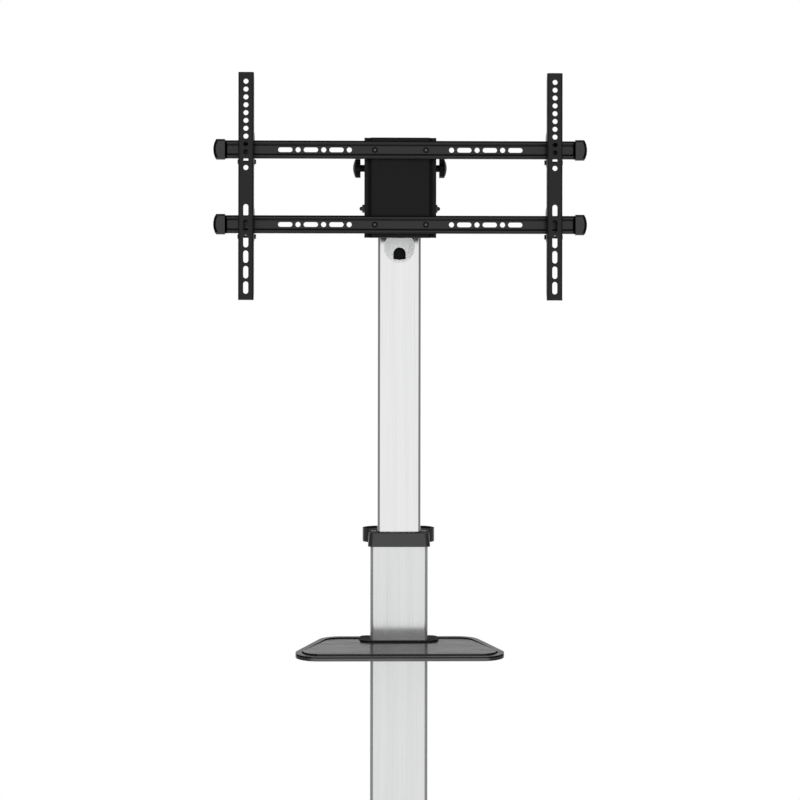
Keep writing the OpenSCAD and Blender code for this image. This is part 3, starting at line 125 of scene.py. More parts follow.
class Wiring:
    """The node tree of a material or a world, built step by step."""

    NOISE_LOW = 0.3
    NOISE_HIGH = 0.7

    def __init__(self, tree: bpy.types.NodeTree) -> None:
        """Takes up the tree that the nodes are added to."""
        self.tree = tree

    def add(self, kind: str, **settings: object) -> bpy.types.Node:
        """Adds a node.

        Args:
            kind: The node's type without its ShaderNode prefix.
            settings: Properties of the node, by name.

        Returns:
            The new node.
        """
        node = self.tree.nodes.new("ShaderNode" + kind)
        for key, value in settings.items():
            setattr(node, key, value)
        return node

    def link(self, source: bpy.types.NodeSocket, target: bpy.types.NodeSocket) -> None:
        """Joins an output to an input."""
        self.tree.links.new(source, target)

    def place(self, stretch: Sequence[float] = (1, 1, 1)) -> bpy.types.NodeSocket:
        """Object coordinates, stretched per axis.

        Args:
            stretch: How much the pattern is squeezed along X, Y and Z.

        Returns:
            The socket that carries the coordinates.
        """
        coords = self.add("TexCoord")
        mapping = self.add("Mapping")
        mapping.inputs["Scale"].default_value = stretch
        self.link(coords.outputs["Object"], mapping.inputs["Vector"])
        return mapping.outputs["Vector"]

    def noise(
        self, where: bpy.types.NodeSocket, size: float, detail: float = 2.0
    ) -> bpy.types.NodeSocket:
        """Noise whose patches are about size metres wide.

        Args:
            where: The coordinates that the noise reads.
            size: Width of a patch, in metres.
            detail: How many finer layers lie on the patches.

        Returns:
            The socket with the noise, about 0.5 in the middle.
        """
        node = self.add("TexNoise")
        node.inputs["Scale"].default_value = 1 / size
        node.inputs["Detail"].default_value = detail
        self.link(where, node.inputs["Vector"])
        return node.outputs["Fac"]

    def ramp(
        self,
        value: bpy.types.NodeSocket,
        tones: tuple[Colour, Colour],
        stops: tuple[float, float],
    ) -> bpy.types.NodeSocket:
        """A colour that runs from one tone to another as a value grows.

        Args:
            value: The socket that drives the ramp.
            tones: The tones of its low and its high values.
            stops: The values where the change begins and ends.

        Returns:
            The socket with the colour.
        """
        node = self.add("ValToRGB")
        for element, tone, stop in zip(node.color_ramp.elements, tones, stops):
            element.position = stop
            element.color = (*tone, 1)
        self.link(value, node.inputs["Fac"])
        return node.outputs["Color"]

    def spread(
        self, value: bpy.types.NodeSocket, low: float, high: float
    ) -> bpy.types.NodeSocket:
        """Maps noise around its middle onto a range.

        Args:
            value: A socket with noise.
            low: What the noise's low patches become.
            high: What the noise's high patches become.

        Returns:
            The socket with the mapped value.
        """
        node = self.add("MapRange")
        node.inputs["From Min"].default_value = self.NOISE_LOW
        node.inputs["From Max"].default_value = self.NOISE_HIGH
        node.inputs["To Min"].default_value = low
        node.inputs["To Max"].default_value = high
        self.link(value, node.inputs["Value"])
        return node.outputs["Result"]

    def scale(
        self,
        value: bpy.types.NodeSocket,
        source: tuple[float, float],
        target: tuple[float, float],
    ) -> bpy.types.NodeSocket:
        """Maps one range smoothly onto another.

        Args:
            value: The socket to map.
            source: The range that it comes from.
            target: The range that it goes to.

        Returns:
            The socket with the mapped value.
        """
        node = self.add("MapRange", interpolation_type="SMOOTHSTEP")
        for key, number in zip(("From Min", "From Max", "To Min", "To Max"), source + target):
            node.inputs[key].default_value = number
        self.link(value, node.inputs["Value"])
        return node.outputs["Result"]

    def math(self, kind: str, *values: bpy.types.NodeSocket) -> bpy.types.NodeSocket:
        """Works out one value from others.

        Args:
            kind: Blender's name of the operation.
            values: The sockets that it takes.

        Returns:
            The socket with the result.
        """
        node = self.add("Math", operation=kind)
        for value, target in zip(values, node.inputs):
            self.link(value, target)
        return node.outputs["Value"]

    def vector(self, kind: str, value: bpy.types.NodeSocket) -> bpy.types.Node:
        """Works on one vector.

        Args:
            kind: Blender's name of the operation.
            value: The socket with the vector.

        Returns:
            The node, which has the result on one of its sockets.
        """
        node = self.add("VectorMath", operation=kind)
        self.link(value, node.inputs[0])
        return node

    def across(self, vector: bpy.types.NodeSocket) -> bpy.types.Node:
        """Splits a vector.

        Args:
            vector: The socket with the vector.

        Returns:
            The node with the parts on its X, Y and Z sockets.
        """
        node = self.add("SeparateXYZ")
        self.link(vector, node.inputs["Vector"])
        return node


class Recipe(Wiring):
    """A material around one principled shader."""

    SPOTS = (0.35, 0.65)

    def __init__(self, name: str) -> None:
        """Starts an empty material.

        Args:
            name: The material's name.
        """
        self.material = bpy.data.materials.new(name)
        self.material.use_nodes = True
        super().__init__(self.material.node_tree)
        self.shader = self.tree.nodes["Principled BSDF"]

    def multiply(self, first: bpy.types.NodeSocket, second: bpy.types.NodeSocket) -> None:
        """Gives the shader the product of two colours.

        Args:
            first: The colour below.
            second: The colour that shades it.
        """
        node = self.add("Mix", data_type="RGBA", blend_type="MULTIPLY")
        node.inputs["Factor"].default_value = 1.0
        self.link(first, node.inputs["A"])
        self.link(second, node.inputs["B"])
        self.colour(node.outputs["Result"])

    def mottle(
        self,
        fine: bpy.types.NodeSocket,
        tones: tuple[Colour, Colour],
        slow: bpy.types.NodeSocket,
        shade: float,
        stops: tuple[float, float],
    ) -> None:
        """Gives the shader two tones in fine patches, shaded by slow ones.

        Args:
            fine: Noise that picks between the tones.
            tones: The tones of its low and its high patches.
            slow: Noise whose low patches are shaded.
            shade: What is left of the colour there.
            stops: Levels of the slow noise between which the shading fades.
        """
        spots = self.ramp(fine, tones, self.SPOTS)
        film = self.ramp(slow, ((shade, shade, shade), WHITE), stops)
        self.multiply(spots, film)

    def bump(self, height: bpy.types.NodeSocket, depth: float, strength: float) -> None:
        """Raises the surface's fine relief.

        Args:
            height: A socket with noise.
            depth: Height of the relief in metres.
            strength: How strongly the relief shows.
        """
        node = self.add("Bump")
        node.inputs["Distance"].default_value = depth
        node.inputs["Strength"].default_value = strength
        self.link(height, node.inputs["Height"])
        self.link(node.outputs["Normal"], self.shader.inputs["Normal"])

    def colour(self, socket: bpy.types.NodeSocket) -> None:
        """Gives the shader its base colour."""
        self.link(socket, self.shader.inputs["Base Color"])

    def roughness(
        self, value: bpy.types.NodeSocket, shine: float, play: tuple[float, float]
    ) -> None:
        """Gives the shader a roughness with its play on noise, low patches first."""
        low, high = (shine + change for change in play)
        self.link(self.spread(value, low, high), self.shader.inputs["Roughness"])

    def fix(self, **values: float) -> None:
        """Sets plain numbers on the shader, with spaces in their names as underscores."""
        for key, value in values.items():
            self.shader.inputs[key.replace("_", " ")].default_value = value


@dataclass(frozen=True)
class Finish:
    """What every finish has.

    Attributes:
        name: The material's name.
        slot: The record's slot that it belongs to.
    """

    name: str
    slot: Slot

    def paint(self, recipe: Recipe) -> None:
        """Adds this finish's own nodes to the recipe."""
        raise NotImplementedError

    def material(self) -> bpy.types.Material:
        """The finish's material, built once.

        Returns:
            The material of that name.
        """
        found = bpy.data.materials.get(self.name)
        if found is None:
            recipe = Recipe(self.name)
            self.paint(recipe)
            found = recipe.material
        return found


@dataclass(frozen=True)
class BrushedAluminium(Finish):
    """Anodised extrusion with fine lines along its length.

    Attributes:
        light: Colour of the high patches.
        dark: Colour of the low patches.
        line: Width of a fine line, in metres.
        line_run: How far the lines are drawn out; smaller is longer.
        line_stops: Levels of the noise between a dark and a light line.
        band: Width of a broad band, in metres.
        band_run: How far the bands are drawn out.
        band_tone: What is left of the colour in a low band.
        band_stops: Levels of the noise between a low and a high band.
        shine: Roughness around which the lines vary.
        play: What the low and the high patches add to it.
        relief: Depth of the lines, in metres.
        strength: How strongly the relief shows.
        metal: Share of the metal under the clear anodised film.
    """

    light: Colour = (0.83, 0.83, 0.83)
    dark: Colour = (0.77, 0.773, 0.777)
    line: float = 0.0012
    line_run: float = 0.004
    line_stops: tuple[float, float] = (0.3, 0.5)
    band: float = 0.014
    band_run: float = 0.016
    band_tone: Colour = (0.965, 0.967, 0.97)
    band_stops: tuple[float, float] = (0.35, 0.65)
    shine: float = 0.13
    play: tuple[float, float] = (0.05, -0.03)
    relief: float = 0.00002
    strength: float = 0.35
    metal: float = 1.0

    def paint(self, recipe: Recipe) -> None:
        """Draws fine and broad lines along Z in colour, gloss and relief.

        Args:
            recipe: The recipe that the nodes are added to.
        """
        fine = recipe.noise(recipe.place((1, 1, self.line_run)), self.line, detail=3)
        broad = recipe.noise(recipe.place((1, 1, self.band_run)), self.band, detail=1)
        lines = recipe.ramp(fine, (self.dark, self.light), self.line_stops)
        bands = recipe.ramp(broad, (self.band_tone, WHITE), self.band_stops)
        recipe.multiply(lines, bands)
        recipe.roughness(fine, self.shine, self.play)
        recipe.bump(fine, self.relief, self.strength)
        recipe.fix(Metallic=self.metal)


@dataclass(frozen=True)
class PowderCoat(Finish):
    """Matt black powder on steel, with its orange-peel relief.

    Attributes:
        light: Colour of the high patches.
        dark: Colour of the low patches.
        peel: Width of the orange peel's dimples, in metres.
        drift: Width of the slow changes in tone, in metres.
        drift_shade: What is left of the colour where it drifts low.
        drift_stops: Levels of the noise between which it drifts.
        gloss: Level of the mirrored light.
        shine: Roughness around which the peel varies.
        play: What the low and the high patches add to it.
        relief: Depth of the peel, in metres.
        strength: How strongly the relief shows.
    """

    light: Colour = (0.0042, 0.0042, 0.0044)
    dark: Colour = (0.003, 0.003, 0.0031)
    peel: float = 0.0011
    drift: float = 0.12
    drift_shade: float = 0.9
    drift_stops: tuple[float, float] = (0.35, 0.65)
    gloss: float = 0.165
    shine: float = 0.38
    play: tuple[float, float] = (0.06, -0.05)
    relief: float = 0.00009
    strength: float = 0.6

    def paint(self, recipe: Recipe) -> None:
        """Draws the peel and a slow drift in the colour.

        Args:
            recipe: The recipe that the nodes are added to.
        """
        where = recipe.place()
        peel = recipe.noise(where, self.peel, detail=2)
        drift = recipe.noise(where, self.drift, detail=1)
        tones = (self.dark, self.light)
        recipe.mottle(peel, tones, drift, self.drift_shade, self.drift_stops)
        recipe.roughness(peel, self.shine, self.play)
        recipe.bump(peel, self.relief, self.strength)
        recipe.fix(Metallic=0.0, Specular_IOR_Level=self.gloss)


@dataclass(frozen=True)
class Moulding(Finish):
    """Injection-moulded plastic with a fine spark-eroded grain.

    Attributes:
        light: Colour of the high patches.
        dark: Colour of the low patches.
        grain: Width of the grain, in metres.
        flow: Width of the flow marks, in metres.
        flow_squeeze: How much narrower they are along Y.
        flow_shade: What is left of the colour in a low mark.
        flow_stops: Levels of the noise between a low and a high mark.
        shine: Roughness around which the flow marks vary.
        play: What the low and the high marks add to it.
        gloss: Level of the mirrored light.
        relief: Depth of the grain, in metres.
        strength: How strongly the relief shows.
        metal: Share of metallic flake in the plastic.
    """

    light: Colour = (0.019, 0.019, 0.02)
    dark: Colour = (0.013, 0.013, 0.0135)
    grain: float = 0.0006
    flow: float = 0.05
    flow_squeeze: float = 2.5
    flow_shade: float = 0.92
    flow_stops: tuple[float, float] = (0.3, 0.7)
    shine: float = 0.36
    play: tuple[float, float] = (0.05, -0.03)
    gloss: float = 0.4
    relief: float = 0.00004
    strength: float = 0.6
    metal: float = 0.0

    def paint(self, recipe: Recipe) -> None:
        """Draws the grain and the flow marks of the moulding.

        Args:
            recipe: The recipe that the nodes are added to.
        """
        grain = recipe.noise(recipe.place(), self.grain, detail=2)
        flow = recipe.noise(recipe.place((1, self.flow_squeeze, 1)), self.flow, detail=1)
        tones = (self.dark, self.light)
        recipe.mottle(grain, tones, flow, self.flow_shade, self.flow_stops)
        recipe.roughness(flow, self.shine, self.play)
        recipe.bump(grain, self.relief, self.strength)
        recipe.fix(Metallic=self.metal, Specular_IOR_Level=self.gloss)


@dataclass(frozen=True)
class Plating(Finish):
    """Metal plating: bright zinc, or black oxide where dark.

    Attributes:
        light: Colour of the high patches.
        dark: Colour of the low patches.
        shine: Roughness of the smoothest patches.
        play: What the low and the high patches add to it.
        crystal: Width of the plating's crystals, in metres.
        crystal_stops: Levels of the noise between a dark and a light crystal.
        turning: Width of the turning marks, in metres.
        turning_squeeze: How much narrower they are along Y.
        relief: Depth of the turning marks, in metres.
        strength: How strongly the relief shows.
    """

    light: Colour = (0.6, 0.61, 0.63)
    dark: Colour = (0.46, 0.46, 0.47)
    shine: float = 0.3
    play: tuple[float, float] = (0.1, 0.0)
    crystal: float = 0.004
    crystal_stops: tuple[float, float] = (0.3, 0.7)
    turning: float = 0.0012
    turning_squeeze: float = 8.0
    relief: float = 0.00002
    strength: float = 0.4

    def paint(self, recipe: Recipe) -> None:
        """Draws the plating's crystals and the turning marks.

        Args:
            recipe: The recipe that the nodes are added to.
        """
        crystals = recipe.noise(recipe.place(), self.crystal, detail=3)
        marks = recipe.place((1, self.turning_squeeze, 1))
        turning = recipe.noise(marks, self.turning, detail=1)
        recipe.colour(recipe.ramp(crystals, (self.dark, self.light), self.crystal_stops))
        recipe.roughness(crystals, self.shine, self.play)
        recipe.bump(turning, self.relief, self.strength)
        recipe.fix(Metallic=1.0)


@dataclass(frozen=True)
class Tread(Finish):
    """Soft grey-black polyurethane on a wheel, with dust in its grain.

    Attributes:
        light: Colour of the high patches.
        dark: Colour of the low patches.
        grain: Width of the grain, in metres.
        dust: Width of the dusty patches, in metres.
        dust_shade: What is left of the colour between them.
        dust_stops: Levels of the noise between which it fades.
        shine: Roughness between the dusty patches.
        play: What the low and the high patches add to it.
        gloss: Level of the mirrored light.
        relief: Depth of the grain, in metres.
        strength: How strongly the relief shows.
    """

    light: Colour = (0.05, 0.05, 0.052)
    dark: Colour = (0.03, 0.03, 0.031)
    grain: float = 0.0015
    dust: float = 0.02
    dust_shade: float = 0.85
    dust_stops: tuple[float, float] = (0.4, 0.6)
    shine: float = 0.6
    play: tuple[float, float] = (0.0, 0.15)
    gloss: float = 0.35
    relief: float = 0.00008
    strength: float = 0.5

    def paint(self, recipe: Recipe) -> None:
        """Draws the dusty grain.

        Args:
            recipe: The recipe that the nodes are added to.
        """
        where = recipe.place()
        grain = recipe.noise(where, self.grain, detail=3)
        dust = recipe.noise(where, self.dust, detail=2)
        tones = (self.dark, self.light)
        recipe.mottle(grain, tones, dust, self.dust_shade, self.dust_stops)
        recipe.roughness(dust, self.shine, self.play)
        recipe.bump(grain, self.relief, self.strength)
        recipe.fix(Metallic=0.0, Specular_IOR_Level=self.gloss)


ALUMINIUM = BrushedAluminium("brushed_tube", Slot.ALUMINIUM)
OUTER_ALUMINIUM = BrushedAluminium(
    "brushed_outer_tube", Slot.ALUMINIUM, (0.74, 0.743, 0.747), (0.69, 0.695, 0.7), metal=0.87
)
# Painted shade: a dark copy of the brushed tube, laid on the tubes' inner faces.
SHADED_TUBE_INSIDE = BrushedAluminium(
    "tube_inside", Slot.ALUMINIUM, (0.06, 0.06, 0.062), (0.04, 0.04, 0.041), shine=0.5
)

POWDER = PowderCoat("powder_coat", Slot.STEEL)
RAIL_POWDER = PowderCoat(
    "rail_powder_coat",
    Slot.STEEL,
    (0.003, 0.003, 0.0031),
    (0.0022, 0.0022, 0.0023),
    gloss=0.5,
    shine=0.3,
)
ARM_POWDER = PowderCoat("arm_powder_coat", Slot.STEEL, gloss=0.32)

MOULDED = Moulding(
    "moulded_black",
    Slot.PLASTIC,
    (0.0055, 0.0055, 0.0057),
    (0.0042, 0.0042, 0.0044),
    shine=0.28,
    gloss=0.38,
)
SATIN = Moulding(
    "satin_moulding",
    Slot.PLASTIC,
    (0.008, 0.008, 0.0083),
    (0.0065, 0.0065, 0.0068),
    shine=0.26,
    gloss=0.8,
)
# Painted highlight: a bright, mirror-like copy of the moulding for the tray's upright edge.
EDGE = Moulding(
    "edge_moulding",
    Slot.PLASTIC,
    (0.15, 0.15, 0.152),
    (0.12, 0.12, 0.122),
    shine=0.26,
    metal=1.0,
)
CAPPED = Moulding(
    "cap_moulding",
    Slot.PLASTIC,
    (0.006, 0.006, 0.0062),
    (0.0045, 0.0045, 0.0047),
    shine=0.24,
    gloss=0.6,
)
# The tilt knobs' own black, also laid as painted shade on the sides of the caps' domes.
GRIP_AND_SHADE = Moulding(
    "grip_moulding",
    Slot.PLASTIC,
    (0.002, 0.002, 0.0021),
    (0.0015, 0.0015, 0.0016),
    shine=0.3,
    gloss=0.12,
)
DULL = Moulding(
    "dull_moulding",
    Slot.PLASTIC,
    (0.021, 0.021, 0.0214),
    (0.017, 0.017, 0.0172),
    shine=0.5,
    gloss=0.006,
)
# Painted shadow: near-black moulding for the rails beside the caps and the groove in the
# tray's edge.
SHADOW = Moulding(
    "groove_moulding",
    Slot.PLASTIC,
    (0.0015, 0.0015, 0.0016),
    (0.001, 0.001, 0.0011),
    shine=0.5,
    gloss=0.003,
)
TRAY = Moulding(
    "tray_satin", Slot.PLASTIC, shine=0.2, gloss=0.05, grain=0.0012, relief=0.000003
)
COVER = Moulding(
    "cover_grey", Slot.PLASTIC, (0.06, 0.06, 0.062), (0.045, 0.045, 0.046), shine=0.42
)
SILVER = Moulding(
    "silver_moulding",
    Slot.SILVER,
    (0.93, 0.933, 0.94),
    (0.9, 0.903, 0.91),
    shine=0.3,
    gloss=0.8,
)
# Painted shade: a dark copy of the silver moulding for the steps of the grommet's rings.
SHADED_SILVER_STEP = Moulding(
    "silver_line",
    Slot.SILVER,
    (0.3, 0.302, 0.305),
    (0.26, 0.262, 0.265),
    shine=0.35,
    gloss=0.3,
)
NYLON = Moulding("dark_nylon", Slot.GUIDE, (0.1, 0.1, 0.105), (0.075, 0.075, 0.08), shine=0.5)

ZINC = Plating("bright_zinc", Slot.ZINC)
OXIDE = Plating(
    "black_oxide", Slot.FASTENER, (0.06, 0.06, 0.062), (0.03, 0.03, 0.031), shine=0.2
)
DARK_OXIDE = Plating(
    "dark_oxide", Slot.FASTENER, (0.008, 0.008, 0.0082), (0.005, 0.005, 0.0052)
)
# Painted glint: a light copy of the oxide for the floors of the rails' screw sockets.
GLINT_OXIDE = Plating(
    "worn_oxide", Slot.FASTENER, (0.11, 0.11, 0.112), (0.08, 0.08, 0.081), shine=0.25
)
TYRE = Tread("wheel_tread", Slot.WHEEL)


# Bench work


def deselect() -> None:
    """Leaves edit mode and deselects every object."""
    if bpy.context.object is not None and bpy.context.object.mode != "OBJECT":
        bpy.ops.object.mode_set(mode="OBJECT")
    bpy.ops.object.select_all(action="DESELECT")


def take(piece: bpy.types.Object) -> bpy.types.Object:
    """Makes a piece the only one that operators act on.

    Args:
        piece: The object to work on.

    Returns:
        The same object.
    """
    deselect()
    bpy.context.view_layer.objects.active = piece
    piece.select_set(True)
    return piece


@contextmanager
def editing(piece: bpy.types.Object) -> Iterator[None]:
    """Holds a piece in edit mode.

    Args:
        piece: The object whose mesh is worked on.

    Yields:
        Nothing; edit mode ends with the block.
    """
    take(piece)
    bpy.ops.object.mode_set(mode="EDIT")
    try:
        yield
    finally:
        bpy.ops.object.mode_set(mode="OBJECT")


def pick_faces(piece: bpy.types.Object, wanted: Callable[[bmesh.types.BMFace], bool]) -> int:
    """Selects the faces that pass a test, in edit mode.

    Args:
        piece: The object in edit mode.
        wanted: Says whether a face is wanted.

    Returns:
        How many faces are selected.
    """
    bpy.ops.mesh.select_mode(type="FACE")
    shape = bmesh.from_edit_mesh(piece.data)
    for face in shape.faces:
        face.select_set(bool(wanted(face)))
    bmesh.update_edit_mesh(piece.data)
    return sum(face.select for face in shape.faces)


def modify(piece: bpy.types.Object, kind: str, **settings: object) -> None:
    """Adds a modifier and applies it.

    Args:
        piece: The object that is changed.
        kind: Blender's name of the modifier.
        settings: The modifier's properties, by name.
    """
    take(piece)
    modifier = piece.modifiers.new(kind.title(), kind)
    for key, value in settings.items():
        setattr(modifier, key, value)
    bpy.ops.object.modifier_apply(modifier=modifier.name)


def smooth(piece: bpy.types.Object, angle: float = SMOOTH_ANGLE) -> None:
    """Shades a piece smooth across edges that turn less than an angle in degrees."""
    take(piece)
    bpy.ops.object.shade_smooth_by_angle(angle=math.radians(angle))


def dress(
    piece: bpy.types.Object, finish: Finish, body: str, stands_for: Sequence[str] = ()
) -> bpy.types.Object:
    """Gives a piece its finish and the body that it rides on.

    Args:
        piece: The finished object.
        finish: Its finish.
        body: The body that carries it.
        stands_for: The nodes that it replaces.

    Returns:
        The same object.
    """
    piece.data.materials.clear()
    piece.data.materials.append(finish.material())
    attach(piece, body)
    if stands_for:
        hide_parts(*stands_for)
    LOG.info("%s on %s in %s", piece.name, body, finish.name)
    return piece


def copied(node: str) -> bpy.types.Object:
    """Copies a node's solid and merges its loose triangles into whole faces.

    Args:
        node: The node to copy.

    Returns:
        The copy, not yet dressed.
    """
    source = frame["nodes"][node]
    piece = bpy.data.objects.new(node + "_dressed", source.data.copy())
    bpy.context.scene.collection.objects.link(piece)
    with editing(piece):
        bpy.ops.mesh.select_all(action="SELECT")
        bpy.ops.mesh.remove_doubles(threshold=MERGE)
        bpy.ops.mesh.dissolve_limited(angle_limit=math.radians(FLAT_ANGLE))
    return piece


def roll_edges(
    piece: bpy.types.Object,
    radius: float,
    wanted: Callable[[bmesh.types.BMEdge], bool],
    steps: int,
) -> None:
    """Rounds chosen edges with a radius of their own, as a press rolls them.

    Args:
        piece: The piece, before its other edges are softened.
        radius: The radius in metres.
        wanted: Says whether an edge is rolled.
        steps: Segments of the rounding.
    """
    with editing(piece):
        bpy.ops.mesh.select_all(action="DESELECT")
        bpy.ops.mesh.select_mode(type="EDGE")
        shape = bmesh.from_edit_mesh(piece.data)
        for edge in shape.edges:
            edge.select_set(bool(wanted(edge)))
        bmesh.update_edit_mesh(piece.data)
        bpy.ops.mesh.bevel(offset=radius, segments=steps, affect="EDGES")


def keep_within(piece: bpy.types.Object, node: str) -> None:
    """Pulls back corners that a rounding pushed out of the solid's box.

    Args:
        piece: The rounded piece.
        node: The node whose box it keeps to.
    """
    low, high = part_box(node)
    for corner in piece.data.vertices:
        corner.co = [min(max(x, a), b) for x, a, b in zip(corner.co, low, high)]


def cut_across(piece: bpy.types.Object, places: Iterable[float]) -> None:
    """Cuts a piece's faces along upright planes across X.

    Args:
        piece: The piece to cut.
        places: Where each plane stands on the X axis.
    """
    with editing(piece):
        for place in places:
            bpy.ops.mesh.select_all(action="SELECT")
            bpy.ops.mesh.bisect(plane_co=(place, 0, 0), plane_no=(1, 0, 0))


def softened(
    node: str,
    finish: Finish,
    body: str,
    width: float,
    piece: bpy.types.Object | None = None,
) -> bpy.types.Object:
    """Rounds the sharp edges of a node's copy and dresses it.

    Args:
        node: The node that the copy replaces.
        finish: The copy's finish.
        body: The body that carries the node.
        width: How far each edge is cut back, in metres.
        piece: The copy, where it has been worked on already.

    Returns:
        The rounded copy.
    """
    piece = piece or copied(node)
    modify(
        piece,
        "BEVEL",
        width=width,
        segments=2,
        limit_method="ANGLE",
        angle_limit=math.radians(SHARP_ANGLE),
        use_clamp_overlap=True,
        miter_outer="MITER_ARC",
    )
    keep_within(piece, node)
    smooth(piece)
    modify(piece, "WEIGHTED_NORMAL", keep_sharp=True, weight=50)
    return dress(piece, finish, body, [node])


def repaint(
    piece: bpy.types.Object, finish: Finish, wanted: Callable[[bmesh.types.BMFace], bool]
) -> None:
    """Gives some of a piece's faces a second finish.

    Args:
        piece: The dressed piece.
        finish: The second finish.
        wanted: Says whether a face takes it.
    """
    piece.data.materials.append(finish.material())
    with editing(piece):
        pick_faces(piece, wanted)
        piece.active_material_index = len(piece.data.materials) - 1
        bpy.ops.object.material_slot_assign()


def ribbed_rod(
    name: str,
    start: Vector,
    end: Vector,
    radii: tuple[float, float],
    pitch: float,
    sides: int = 10,
) -> bpy.types.Object:
    """Extrudes a rod with a rib at every step, as a weld bead has.

    Args:
        name: The piece's name.
        start: The middle of the first end.
        end: The middle of the other end.
        radii: Radius in the valleys and on the ribs.
        pitch: Distance from rib to rib.
        sides: Corners of the section.

    Returns:
        The rod, with its place in its mesh.
    """
    low, high = radii
    axis = (end - start).normalized()
    count = max(2, round((end - start).length / pitch))
    step = (end - start) / (2 * count)
    deselect()
    bpy.ops.mesh.primitive_circle_add(
        vertices=sides,
        radius=low,
        fill_type="NGON",
        location=start,
        rotation=axis.to_track_quat("Z", "Y").to_euler(),
    )
    piece = bpy.context.object
    piece.name = name
    bpy.ops.object.transform_apply(location=True, rotation=True, scale=True)
    with editing(piece):
        bpy.ops.mesh.select_all(action="SELECT")
        for index in range(2 * count):
            grow = high / low if index % 2 == 0 else low / high
            bpy.ops.mesh.extrude_region_move(TRANSFORM_OT_translate={"value": step})
            bpy.ops.transform.resize(
                value=(grow, grow, grow), center_override=start + step * (index + 1)
            )
        bpy.ops.mesh.select_all(action="SELECT")
        bpy.ops.mesh.remove_doubles(threshold=MERGE)
        bpy.ops.mesh.normals_make_consistent(inside=False)
    smooth(piece, angle=60.0)
    return piece


def faces_inwards(face: bmesh.types.BMFace) -> bool:
    """Says whether a face of an upright tube around the Z axis looks at that axis."""
    middle, normal = face.calc_center_median(), face.normal
    return abs(normal.z) < UPRIGHT and middle.x * normal.x + middle.y * normal.y < 0


def faces_up(face: bmesh.types.BMFace) -> bool:
    """Says whether a face looks up."""
    return face.normal.z > FACING


def coat(node: str, finish: Finish) -> None:
    """Gives a node that keeps its own solid a finish.

    Args:
        node: The node's name.
        finish: Its finish.
    """
    piece = frame["nodes"][node]
    for place in piece.material_slots:
        place.material = finish.material()
    LOG.info("%s keeps its solid in %s", node, finish.name)


def centre(node: str) -> Vector:
    """Finds the middle of a node's box."""
    low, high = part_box(node)
    return (low + high) / 2


# Sub-assemblies


@dataclass
class SubAssembly:
    """Pieces that one body carries.

    Attributes:
        body: The body's name.
        soft: Nodes that are copied and rounded, each with its finish and edge width.
        plain: Nodes that keep their own solid, each with its finish.
    """

    body: str
    soft: dict[str, tuple[Finish, float]] = field(default_factory=dict)
    plain: dict[str, Finish] = field(default_factory=dict)

    def build(self) -> None:
        """Dresses every node of the sub-assembly and adds its fittings."""
        for node, (finish, width) in self.soft.items():
            softened(node, finish, self.body, width)
        for node, finish in self.plain.items():
            coat(node, finish)
        self.fit()

    def fit(self) -> None:
        """Adds the fittings that only this sub-assembly has."""


@dataclass
class Base(SubAssembly):
    """Beam, legs, foot plate and lower tube, with what is fixed on them.

    Attributes:
        weld: Radii of the weld beads between and on their ribs.
        weld_step: Distance from rib to rib.
    """

    body: str = "stand"
    soft: dict[str, tuple[Finish, float]] = field(
        default_factory=lambda: {
            "base_beam": (POWDER, 0.0006),
            "leg_left": (POWDER, 0.0004),
            "leg_right": (POWDER, 0.0004),
            "leg_end_caps": (MOULDED, 0.0012),
            "foot_plate": (POWDER, 0.0008),
            "foot_cover": (MOULDED, 0.0012),
            "lower_column": (OUTER_ALUMINIUM, 0.0004),
            "collar": (SATIN, 0.0009),
            "lock_nut": (ZINC, 0.0008),
            "rear_grommet": (MOULDED, 0.0007),
        }
    )
    plain: dict[str, Finish] = field(
        default_factory=lambda: {
            "foot_bolts": ZINC,
            "top_guide": NYLON,
            "collar_screws": OXIDE,
            "caster_tops": ZINC,
        }
    )
    weld: tuple[float, float] = (0.0014, 0.0019)
    weld_step: float = 0.0024

    def fit(self) -> None:
        """Paints shade on the tube's inside, leaves the collar's top dull, and welds the beam.
        """
        # Painted shade on the tube's inner faces.
        repaint(bpy.data.objects["lower_column_dressed"], SHADED_TUBE_INSIDE, faces_inwards)
        repaint(bpy.data.objects["collar_dressed"], DULL, faces_up)
        self.add_welds()

    def add_welds(self) -> None:
        """Lays weld beads round both ends of the beam, where it meets the legs."""
        low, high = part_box("base_beam")
        beads = {
            "long_weld": ((0, low.y, 0), (0, high.y, 0), [(0, low.z), (0, high.z)]),
            "short_weld": ((0, 0, low.z), (0, 0, high.z), [(low.y, 0), (high.y, 0)]),
        }
        for name, (start, end, places) in beads.items():
            bead = ribbed_rod(name, Vector(start), Vector(end), self.weld, self.weld_step)
            for side in Side:
                for y, z in places:
                    title = f"{name}_{side.word}_{len(bpy.data.objects)}"
                    copy = bpy.data.objects.new(title, bead.data.copy())
                    bpy.context.scene.collection.objects.link(copy)
                    copy.data.transform(Matrix.Translation((side.value * high.x, y, z)))
                    dress(copy, POWDER, self.body)
            bpy.data.objects.remove(bead)


